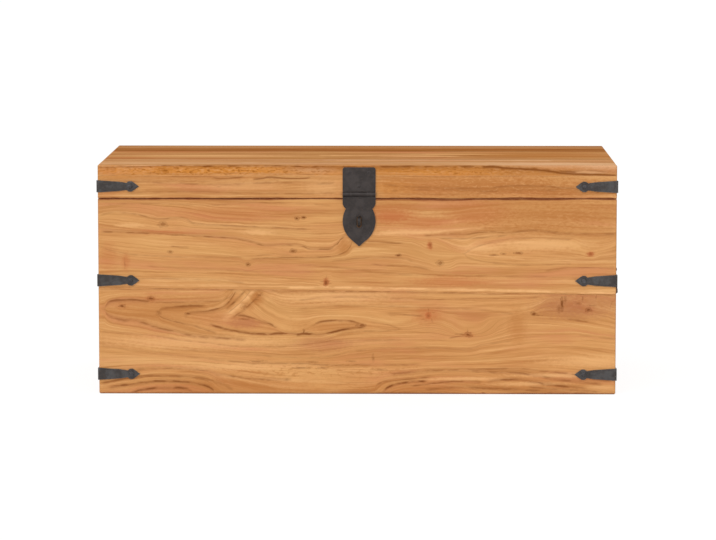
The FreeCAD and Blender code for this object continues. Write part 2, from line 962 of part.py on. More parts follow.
def add_walls():
    nail_holes = []
    for height in (low_strap_height, mid_strap_height):
        nail_holes += strap_nail_holes(strap_nail_sites(height))
    pieces["front_lower_board"] = drilled(front_lower_board(), nail_holes)
    pieces["front_upper_board"] = drilled(front_upper_board(), nail_holes + staple_holes())
    pieces["back_lower_board"] = drilled(back_lower_board(), nail_holes)
    pieces["back_upper_board"] = drilled(back_upper_board(), nail_holes + hinge_mortises(False))
    for name, side in (("left", -1), ("right", 1)):
        lower = end_lower_board()
        upper = end_upper_board()
        if side > 0:
            lower = mirrored(lower, along_x)
            upper = mirrored(upper, along_x)
        pieces[f"{name}_lower_board"] = drilled(lower, nail_holes)
        pieces[f"{name}_upper_board"] = drilled(upper, nail_holes + handle_holes(side))


def add_rails(plate_holes):
    nail_holes = strap_nail_holes(strap_nail_sites(lid_strap_height))
    pieces["lid_front_rail"] = drilled(lid_front_rail(), nail_holes + plate_holes)
    pieces["lid_back_rail"] = drilled(lid_back_rail(), nail_holes + hinge_mortises(True))
    pieces["lid_left_rail"] = drilled(lid_end_rail(), nail_holes)
    pieces["lid_right_rail"] = drilled(mirrored(lid_end_rail(), along_x), nail_holes)


def add_iron():
    box_sites = strap_nail_sites(low_strap_height) + strap_nail_sites(mid_strap_height)
    add_straps("low", low_strap_height)
    add_straps("mid", mid_strap_height)
    add_straps("lid", lid_strap_height)
    pieces["box_strap_nails"] = strap_nails(box_sites)
    pieces["lid_strap_nails"] = strap_nails(strap_nail_sites(lid_strap_height))
    pieces["hasp_plate"] = hasp_plate()
    pieces["hasp_plate_nails"] = plate_nails()
    pieces["hasp_pin"] = hasp_pin()
    pieces["hasp"] = hasp_leaf()
    pieces["hasp_staple"] = staple()
    pieces["right_handle_eyes"] = handle_eyes()
    pieces["left_handle_eyes"] = mirrored(handle_eyes(), along_x)
    pieces["right_handle_bail"] = handle_bail()
    pieces["left_handle_bail"] = mirrored(handle_bail(), along_x)


def add_hinges():
    box_nails = []
    lid_nails = []
    for name, x in (("left", -hinge_offset), ("right", hinge_offset)):
        pieces[f"{name}_hinge_box_leaf"] = hinge_leaf(x, False)
        pieces[f"{name}_hinge_lid_leaf"] = hinge_leaf(x, True)
        pieces[f"{name}_hinge_pin"] = hinge_pin(x)
        box_nails += hinge_nails(x, False)
        lid_nails += hinge_nails(x, True)
    pieces["box_leaf_nails"] = group(box_nails)
    pieces["lid_leaf_nails"] = group(lid_nails)


plate_holes = [nail_hole(site, along_y, nail_bite + nail_clearance) for site in plate_nail_sites()]
add_walls()
add_floor()
add_lid_boards(plate_holes)
add_rails(plate_holes)
add_iron()
add_hinges()

for name, shape in pieces.items():
    shape.exportStep(f"parts/{name}.step")
print(len(pieces), "pieces written")
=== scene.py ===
import math
import random
import bpy
import bmesh
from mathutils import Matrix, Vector


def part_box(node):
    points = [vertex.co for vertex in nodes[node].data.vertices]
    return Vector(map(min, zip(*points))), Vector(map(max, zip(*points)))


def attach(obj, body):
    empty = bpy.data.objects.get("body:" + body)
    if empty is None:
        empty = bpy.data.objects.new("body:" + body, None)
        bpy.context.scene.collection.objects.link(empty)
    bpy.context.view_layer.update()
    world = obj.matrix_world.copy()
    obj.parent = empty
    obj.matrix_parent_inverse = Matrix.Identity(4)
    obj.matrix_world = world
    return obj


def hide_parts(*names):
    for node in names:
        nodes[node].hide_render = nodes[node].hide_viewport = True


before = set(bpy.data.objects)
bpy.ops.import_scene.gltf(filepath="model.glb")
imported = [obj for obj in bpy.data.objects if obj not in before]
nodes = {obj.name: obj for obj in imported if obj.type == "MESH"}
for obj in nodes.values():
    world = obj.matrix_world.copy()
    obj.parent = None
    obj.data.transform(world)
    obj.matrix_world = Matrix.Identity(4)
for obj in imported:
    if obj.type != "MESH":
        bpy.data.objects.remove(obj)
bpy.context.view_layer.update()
scene = bpy.context.scene
mm = 0.001  # the tables below are in millimetres
print("frame loaded:", len(nodes), "nodes")


# camera

cameraSet = {
    "place": (0.07951, -6.16655, 0.88562),  # metres
    "pitchDown": 0.11195,  # radians
    "turnLeft": 0.01312,
    "lens": 173.1,
    "sensor": 36.0,
    "near": 0.05,
    "far": 200,
}


def addCamera(settings):
    data = bpy.data.cameras.new("photoCamera")
    data.lens = settings["lens"]
    data.sensor_width = settings["sensor"]
    data.sensor_fit = "HORIZONTAL"
    data.clip_start = settings["near"]
    data.clip_end = settings["far"]
    camera = bpy.data.objects.new("photoCamera", data)
    camera.location = settings["place"]
    camera.rotation_euler = (math.pi / 2 - settings["pitchDown"], 0, settings["turnLeft"])
    scene.collection.objects.link(camera)
    scene.camera = camera


addCamera(cameraSet)
print("camera placed")


# node helpers

class Wire:
    # a node's output that sums can be written with; each sum adds its node to the same tree

    def __init__(self, socket):
        self.socket = socket

    def __add__(self, other):
        return calc("ADD", self, other)

    def __radd__(self, other):
        return calc("ADD", other, self)

    def __sub__(self, other):
        return calc("SUBTRACT", self, other)

    def __rsub__(self, other):
        return calc("SUBTRACT", other, self)

    def __mul__(self, other):
        return calc("MULTIPLY", self, other)

    def __truediv__(self, other):
        return calc("DIVIDE", self, other)


def treeOf(*values):
    return next(value.socket.id_data for value in values if isinstance(value, Wire))


def addNode(tree, kind, **settings):
    node = tree.nodes.new(kind)
    for key, value in settings.items():
        setattr(node, key, value)
    return node


def feed(socket, value):
    if isinstance(value, Wire):
        socket.id_data.links.new(value.socket, socket)
    else:
        socket.default_value = value


def feedAll(node, values):
    for label, value in values.items():
        feed(node.inputs[label], value)


def calc(operation, *values):
    node = addNode(treeOf(*values), "ShaderNodeMath", operation=operation)
    for socket, value in zip(node.inputs, values):
        feed(socket, value)
    return Wire(node.outputs[0])


def smoothStep(value, start, end, low=0.0, high=1.0):
    node = addNode(treeOf(value), "ShaderNodeMapRange", interpolation_type="SMOOTHSTEP", clamp=False)
    feedAll(node, {"Value": value, "From Min": start, "From Max": end, "To Min": low, "To Max": high})
    return Wire(node.outputs["Result"])


def join(x, y, z):
    node = addNode(treeOf(x, y, z), "ShaderNodeCombineXYZ")
    feedAll(node, {"X": x, "Y": y, "Z": z})
    return Wire(node.outputs[0])


def split(wire):
    node = addNode(treeOf(wire), "ShaderNodeSeparateXYZ")
    feed(node.inputs[0], wire)
    return [Wire(socket) for socket in node.outputs]


def noise(spot, detail, rough=0.5, twist=0.0, scale=1):
    # the spot is a vector wire, or its three parts
    spot = join(*spot) if isinstance(spot, tuple) else spot
    node = addNode(treeOf(spot), "ShaderNodeTexNoise")
    feedAll(node, {"Vector": spot, "Scale": scale, "Detail": detail, "Roughness": rough, "Distortion": twist})
    return Wire(node.outputs["Fac"])


def mixColor(share, under, over):
    node = addNode(treeOf(share, under, over), "ShaderNodeMix", data_type="RGBA", clamp_factor=True)
    factor, colorA, colorB = node.inputs[0], node.inputs[6], node.inputs[7]
    for socket, value in ((factor, share), (colorA, under), (colorB, over)):
        feed(socket, value)
    return Wire(node.outputs[2])


def shade(red, green, blue):
    # a colour as seen on screen, 0 to 255, turned to scene values
    channels = []
    for value in (red, green, blue):
        value = value / 255
        channels.append(value / 12.92 if value <= 0.04045 else ((value + 0.055) / 1.055) ** 2.4)
    return (*channels, 1.0)


def newGroup(name, inputs, outputs):
    # inputs come with their defaults: a number, a place of three or a colour of four
    kinds = {1: "NodeSocketFloat", 3: "NodeSocketVector", 4: "NodeSocketColor"}
    tree = bpy.data.node_groups.new(name, "ShaderNodeTree")
    for label, value in inputs.items():
        size = len(value) if isinstance(value, tuple) else 1
        socket = tree.interface.new_socket(name=label, in_out="INPUT", socket_type=kinds[size])
        socket.default_value = value
    for label in outputs:
        kind = kinds[4] if label == "Color" else kinds[1]
        tree.interface.new_socket(name=label, in_out="OUTPUT", socket_type=kind)
    entry = tree.nodes.new("NodeGroupInput")
    given = {label: Wire(entry.outputs[label]) for label in inputs}
    return tree, given, tree.nodes.new("NodeGroupOutput")


def place(group, values):
    node = addNode(treeOf(*values.values()), "ShaderNodeGroup", node_tree=group)
    feedAll(node, values)
    return {socket.name: Wire(socket) for socket in node.outputs}


def newMaterial(name):
    material = bpy.data.materials.new(name)
    material.use_nodes = True
    material.node_tree.nodes.clear()
    return material, material.node_tree


def addCoat(tree, color, roughness, height, relief, fixed):
    # the one shader of a solid piece, with its relief; fixed holds the sockets that keep one value
    bump = addNode(tree, "ShaderNodeBump")
    feedAll(bump, {"Strength": relief["strength"], "Distance": relief["depth"] * mm, "Height": height})
    shader = addNode(tree, "ShaderNodeBsdfPrincipled")
    feedAll(shader, {"Base Color": color, "Roughness": roughness, "Normal": Wire(bump.outputs[0]), **fixed})
    feed(addNode(tree, "ShaderNodeOutputMaterial").inputs["Surface"], Wire(shader.outputs[0]))


# shared effects; waves are counted to the metre

grainWander = {"slow": (9, 26), "quick": (70, 160), "sway": 0.0012, "shiver": 0.0004}


def makeGrainWarp():
    # small wander of the fibres, so that nothing runs ruler straight
    tree, given, made = newGroup("grainWarp", {
        "Along": 0, "Across": 0, "Seed": 0, "Sway": grainWander["sway"], "Shiver": grainWander["shiver"],
    }, ("Along", "Across"))
    along, across = given["Along"], given["Across"]

    def wander(waves, reach):
        alongWaves, acrossWaves = waves
        return (noise((along * alongWaves, across * acrossWaves, given["Seed"]), 1) - 0.5) * (reach * 4)

    sway = wander(grainWander["slow"], given["Sway"])
    shiver = wander(grainWander["quick"], given["Shiver"])
    feedAll(made, {"Along": along + shiver * 2, "Across": across + (sway + shiver)})
    return tree


def ovalPlace(given):
    # where a point lies in an oval, its half length and half height being 1
    u = (given["Along"] - given["Centre Along"]) / given["Length"]
    v = (given["Across"] - given["Centre Across"]) / given["Height"]
    return u, v, u * u + v * v


def makeFigureBump():
    # lifts the growth lines over a place (Lift), or parts them round it (Part)
    tree, given, made = newGroup("figureBump", {
        "Along": 0, "Across": 0, "Field": 0, "Centre Along": 0, "Centre Across": 0, "Length": 0.05, "Height": 0.01,
        "Lift": 0, "Part": 0,
    }, ("Field",))
    u, v, reach = ovalPlace(given)
    fade = calc("EXPONENT", reach * -1)
    push = calc("MULTIPLY_ADD", v, given["Part"], given["Lift"])
    feedAll(made, {"Field": given["Field"] - fade * push})
    return tree


ovalInputs = {
    "Along": 0, "Across": 0, "Centre Along": 0, "Centre Across": 0, "Length": 0.01, "Height": 0.01, "Softness": 0.4,
    "Strength": 1, "Wobble": 0, "Under": 0,
}


def ovalReach(given):
    # 0 at the middle of an oval, 1 at its rim, uneven by Wobble
    u, v, reach = ovalPlace(given)
    return calc("SQRT", reach) + given["Wobble"]


def makeSoftSpot():
    # an oval stain
    tree, given, made = newGroup("softSpot", ovalInputs, ("Mask",))
    soft = given["Softness"]
    edge = smoothStep(ovalReach(given), 1 - soft, 1 + soft, given["Strength"], 0)
    feedAll(made, {"Mask": calc("MAXIMUM", given["Under"], edge)})
    return tree


pinKnotLook = {"heart": (0.5, 0.3), "ring": (0.32, 0.05), "ringStrength": 0.45}


def makePinKnot():
    # a dark heart that fills a knot to its thin bark ring
    tree, given, made = newGroup("pinKnot", ovalInputs, ("Mask",))
    heartRim, heartMiddle = pinKnotLook["heart"]
    ringReach, ringCore = pinKnotLook["ring"]
    reach = ovalReach(given)
    heart = smoothStep(reach, heartRim + given["Softness"], heartMiddle)
    ring = smoothStep(calc("ABSOLUTE", reach - 1), ringReach, ringCore)
    both = calc("MAXIMUM", heart, ring * pinKnotLook["ringStrength"])
    feedAll(made, {"Mask": calc("MAXIMUM", given["Under"], both * given["Strength"])})
    return tree


shoulderShare = 0.42  # how dark the soft side of a growth line is beside its core


def makeGrainStreak():
    # one dark growth line: Path is its height, from a curve, between Low and High; Spread is its soft side, up or down
    tree, given, made = newGroup("grainStreak", {
        "Along": 0, "Across": 0, "Path": 0, "Start": 0, "End": 1, "Low": 0, "High": 1, "Width": 0.001, "Spread": 0.004,
        "Fade": 0.01, "Strength": 1, "Break": 1, "Under": 0,
    }, ("Mask",))
    path = calc("MULTIPLY_ADD", given["Path"], given["High"] - given["Low"], given["Low"])
    off = given["Across"] - path
    offShare = off / given["Width"]
    line = calc("EXPONENT", offShare * offShare * -1)
    side = off / given["Spread"]
    shoulder = smoothStep(side, 1, 0) * calc("GREATER_THAN", side, 0)
    begins = smoothStep(given["Along"], given["Start"], given["Start"] + given["Fade"])
    ends = smoothStep(given["Along"], given["End"], given["End"] - given["Fade"])
    both = calc("MAXIMUM", line * given["Break"], shoulder * shoulderShare)
    mask = both * given["Strength"] * (begins * ends)
    feedAll(made, {"Mask": calc("MAXIMUM", given["Under"], mask)})
    return tree


leastGap = 0.0003  # metres between two guide lines where they run together


def makeFigureStep():
    # raises the field between one guide line and the next
    tree, given, made = newGroup("figureStep", {
        "Across": 0, "Lower": 0, "Upper": 1, "Rise": 0.01, "Field": 0,
    }, ("Field",))
    gap = calc("MAXIMUM", given["Upper"] - given["Lower"], leastGap)
    share = (given["Across"] - given["Lower"]) / gap
    share = calc("MINIMUM", calc("MAXIMUM", share, 0), 1)
    feedAll(made, {"Field": given["Field"] + share * given["Rise"]})
    return tree


curlLook = {"long": 110, "fine": 330, "roughness": 0.55, "twist": 0.6, "dark": (0.52, 0.68), "light": (0.46, 0.32)}


def makeCurlFleck():
    # short dark and light dashes of curly grain, only where Mask lets them
    tree, given, made = newGroup("curlFleck", {
        "Along": 0, "Across": 0, "Seed": 0, "Long": curlLook["long"], "Fine": curlLook["fine"], "Mask": 1,
    }, ("Dark", "Light"))
    spot = (given["Along"] * given["Long"], given["Across"] * given["Fine"], given["Seed"])
    dash = noise(spot, 2, curlLook["roughness"], curlLook["twist"])
    feedAll(made, {
        "Dark": smoothStep(dash, *curlLook["dark"]) * given["Mask"],
        "Light": smoothStep(dash, *curlLook["light"]) * given["Mask"]})
    return tree


acacia = {
    # the layers of the figure: waves across and along the grain, detail, roughness
    "bands": (24, 1.6, 2, 0.55),
    "lines": (210, 3.0, 3, 0.6),
    "fibres": (1150, 16, 2, 0.6),
    "pores": (1900, 95, 1, 0.5),
    "porePatches": (9, 2.5, 2, 0.5),
    "ringDrift": (70, 2.2, 2, 0.5),
    "ringPatches": (33, 5.0, 1, 0.5),
    # where a layer turns light or dark, from none to full
    "lightBands": (0.5, 0.7), "darkBands": (0.48, 0.3), "darkLines": (0.5, 0.68), "lightLines": (0.46, 0.3),
    "poreMarks": (0.62, 0.72), "porePlaces": (0.35, 0.6), "ringPlaces": (0.4, 0.66),
    "rings": 165, "ringWander": 3.2, "lateWood": (0.45, 0.9), "ringEnd": (1.0, 0.93),
    "poreShade": 0.35, "fibreRelief": 0.5, "lineGloss": 0.12, "poreGloss": 0.2,
}


def makeBoardGrain():
    # tone bands, growth lines, fibres and pores of acacia, all laid along Field
    tree, given, made = newGroup("boardGrain", {
        "Along": 0, "Field": 0, "Depth": 0, "Seed": 0, "Light": (0.7, 0.4, 0.15, 1), "Body": (0.6, 0.3, 0.1, 1),
        "Dark": (0.4, 0.2, 0.06, 1), "Band Share": 0.5, "Line Share": 0.5, "Fibre Share": 0.5, "Ring Share": 0.5,
    }, ("Color", "Height", "Gloss", "Lines"))
    field, light, dark = given["Field"], given["Light"], given["Dark"]

    def layer(name):
        across, along, detail, rough = acacia[name]
        spot = (field * across, calc("MULTIPLY_ADD", given["Along"], along, given["Seed"]), given["Depth"] * across)
        return noise(spot, detail, rough)

    def within(value, name):
        return smoothStep(value, *acacia[name])

    bands, lines, fibres = layer("bands"), layer("lines"), layer("fibres")
    pores, porePatches = layer("pores"), layer("porePatches")
    color = mixColor(within(bands, "lightBands") * given["Band Share"], given["Body"], light)
    color = mixColor(within(bands, "darkBands") * given["Band Share"], color, dark)
    color = mixColor(within(lines, "darkLines") * given["Line Share"], color, dark)
    color = mixColor(within(lines, "lightLines") * given["Line Share"], color, light)
    turn = calc("FRACT", field * acacia["rings"] + layer("ringDrift") * acacia["ringWander"])
    late = within(turn, "lateWood") * within(turn, "ringEnd")
    shown = within(layer("ringPatches"), "ringPlaces")
    color = mixColor(late * shown * given["Ring Share"], color, dark)
    fine = (fibres - 0.5) * given["Fibre Share"]
    color = mixColor(calc("ABSOLUTE", fine), color, mixColor(calc("GREATER_THAN", fine, 0), light, dark))
    pit = within(pores, "poreMarks") * within(porePatches, "porePlaces")
    color = mixColor(pit * acacia["poreShade"], color, dark)
    feedAll(made, {
        "Color": color, "Lines": lines, "Height": fibres * acacia["fibreRelief"] - pit,
        "Gloss": calc("MULTIPLY_ADD", lines, acacia["lineGloss"], pit * acacia["poreGloss"])})
    return tree


sawnEnd = {
    "pithDepth": 0.09, "pithStray": 0.09,  # metres behind and beside the end's middle
    "seedStep": 7.7,
    "swayWaves": 30, "sway": 1.4, "rings": 240, "poreWaves": 900, "poreShade": 0.45,
    "ringMarks": (0.35, 0.7), "poreMarks": (0.55, 0.75),
}


def makeEndGrain():
    # sawn ends: arcs round a far pith, crossed by fine pores
    tree, given, made = newGroup("endGrain", {
        "Across": 0, "Depth": 0, "Seed": 0, "Light": (0.5, 0.25, 0.1, 1), "Dark": (0.3, 0.12, 0.04, 1),
    }, ("Color",))
    across, depth, seed = given["Across"], given["Depth"], given["Seed"]

    def speckle(waves, rough):
        return noise((across * waves, depth * waves, seed), 2, rough)

    u = across - calc("SINE", seed * sawnEnd["seedStep"]) * sawnEnd["pithStray"]
    v = depth + sawnEnd["pithDepth"]
    reach = calc("SQRT", u * u + v * v)
    turns = calc("MULTIPLY_ADD", speckle(sawnEnd["swayWaves"], 0.5), sawnEnd["sway"], reach * sawnEnd["rings"])
    rings = noise((turns, seed, 0.0), 2, 0.6)
    pores = speckle(sawnEnd["poreWaves"], 0.6)
    color = mixColor(smoothStep(rings, *sawnEnd["ringMarks"]), given["Light"], given["Dark"])
    color = mixColor(smoothStep(pores, *sawnEnd["poreMarks"]) * sawnEnd["poreShade"], color, given["Dark"])
    feedAll(made, {"Color": color})
    return tree


forge = {
    "hammerWaves": 170, "hammerSoftness": 0.6, "cloudWaves": 60, "scaleWaves": 420, "bloomMarks": (0.4, 0.65),
    "brownMarks": (0.5, 0.75), "brownShare": 0.5, "gloss": (0.36, 0.25), "scaleRelief": 0.18,
}


def makeForgedIron():
    # blackened iron: hammered planes, a thin bluish bloom and brownish patches
    tree, given, made = newGroup("forgedIron", {
        "Place": (0, 0, 0), "Seed": 0, "Dark": (0.03, 0.03, 0.03, 1), "Bloom": (0.06, 0.06, 0.07, 1),
        "Brown": (0.06, 0.04, 0.03, 1), "Hammer": 1,
    }, ("Color", "Roughness", "Height"))
    shifted = addNode(tree, "ShaderNodeVectorMath", operation="ADD")
    feed(shifted.inputs[0], given["Place"])
    feed(shifted.inputs[1], join(given["Seed"], given["Seed"], 0))
    here = Wire(shifted.outputs[0])
    cells = addNode(tree, "ShaderNodeTexVoronoi", feature="SMOOTH_F1")
    feedAll(cells, {"Vector": here, "Scale": forge["hammerWaves"], "Smoothness": forge["hammerSoftness"]})
    cloud = noise(here, 4, 0.6, scale=forge["cloudWaves"])
    scale = noise(here, 3, 0.6, scale=forge["scaleWaves"])
    color = mixColor(smoothStep(cloud, *forge["bloomMarks"]), given["Dark"], given["Bloom"])
    color = mixColor(smoothStep(scale, *forge["brownMarks"]) * forge["brownShare"], color, given["Brown"])
    least, more = forge["gloss"]
    dents = Wire(cells.outputs["Distance"]) * given["Hammer"]
    feedAll(made, {
        "Color": color, "Roughness": calc("MULTIPLY_ADD", cloud, more, least),
        "Height": calc("MULTIPLY_ADD", scale, forge["scaleRelief"], dents)})
    return tree


wearLook = {"turn": (0.995, 0.85), "waves": 90, "patches": (0.35, 0.65), "least": 0.35}


def makeEdgeWear():
    # where the surface turns within Radius of an edge
    tree, given, made = newGroup("edgeWear", {"Place": (0, 0, 0), "Radius": 0.002, "Amount": 1}, ("Mask",))
    rounded = addNode(tree, "ShaderNodeBevel", samples=4)
    feed(rounded.inputs["Radius"], given["Radius"])
    flat = addNode(tree, "ShaderNodeNewGeometry")
    dot = addNode(tree, "ShaderNodeVectorMath", operation="DOT_PRODUCT")
    feed(dot.inputs[0], Wire(rounded.outputs[0]))
    feed(dot.inputs[1], Wire(flat.outputs["Normal"]))
    turn = smoothStep(Wire(dot.outputs["Value"]), *wearLook["turn"])
    patches = noise(given["Place"], 3, 0.6, scale=wearLook["waves"])
    patchy = smoothStep(patches, *wearLook["patches"], wearLook["least"], 1)
    feedAll(made, {"Mask": turn * patchy * given["Amount"]})
    return tree


grainWarp = makeGrainWarp()
figureBump = makeFigureBump()
softSpot = makeSoftSpot()
pinKnot = makePinKnot()
grainStreak = makeGrainStreak()
figureStep = makeFigureStep()
curlFleck = makeCurlFleck()
boardGrain = makeBoardGrain()
endGrain = makeEndGrain()
forgedIron = makeForgedIron()
edgeWear = makeEdgeWear()
print("shared effects made")


# acacia boards

woodTones = {
    "light": shade(220, 167, 109),
    "body": shade(204, 146, 88),
    "dark": shade(178, 118, 64),
    "red": shade(184, 104, 58),
    "brown": shade(178, 114, 58),
    "gold": shade(202, 132, 60),
    "rose": shade(200, 130, 86),
    "straw": shade(218, 168, 104),
    "pale": shade(232, 178, 120),
    "line": shade(124, 68, 26),
    # the parting tone is painted shade for the gap between lid and box
    "parting": shade(104, 36, 4),
    "endLight": shade(190, 130, 78),
    "endDark": shade(154, 98, 54),
    "mauve": shade(170, 108, 72),
    # painted shade for the wood seen through the hasp's slot and behind its roll
    "paintedHaspShade": shade(38, 30, 26),
}

# which of x, y and z runs along the grain, across it and into the board
axisOrder = {"x": (0, 2, 1), "y": (1, 2, 0), "xTop": (0, 1, 2), "yTop": (1, 0, 2)}

# dark seams where boards meet, and painted shade at the lid's parting and along the foot: (half width, strength, soft
# side, points)
seams = {
    # the two parting lines paint the shade that falls into the gap between lid and box, fading onto both boards
    "partingShadeBelow": (1.8, 1.0, -2.6, ((-450, 341.5), (450, 341.5)), "parting"),
    "partingShadeAbove": (1.3, 1.0, 1.8, ((-450, 342.3), (450, 342.3)), "parting"),
    "jointAbove": (0.9, 0.4, 1.5, ((-450, 186.6), (0, 181.0), (450, 175.6))),
    "jointBelow": (1.1, 0.6, -2.6, ((-450, 185.4), (0, 179.8), (450, 174.4))),
    # the foot line is painted shade along the bottom edge, where the chest stands on the floor
    "foot": (2.6, 0.95, 4, ((-450, 0.0), (450, 0.0)), "seam"),
    "railTop": (0.8, 0.4, -1.5, ((-450, 381.2), (450, 381.2))),
}

# what a board's lists hold, in millimetres along and across the grain:
# guides: (level, points), from the foot up; the field of growth lines keeps the level all along the points
# streaks: (half width, strength, soft side, points), then "seam" for one without breaks
# all others but bend: (along, across, half length, half height, strength)
# bend, which moves the growth lines: (along, across, half length, half height, lift, part)

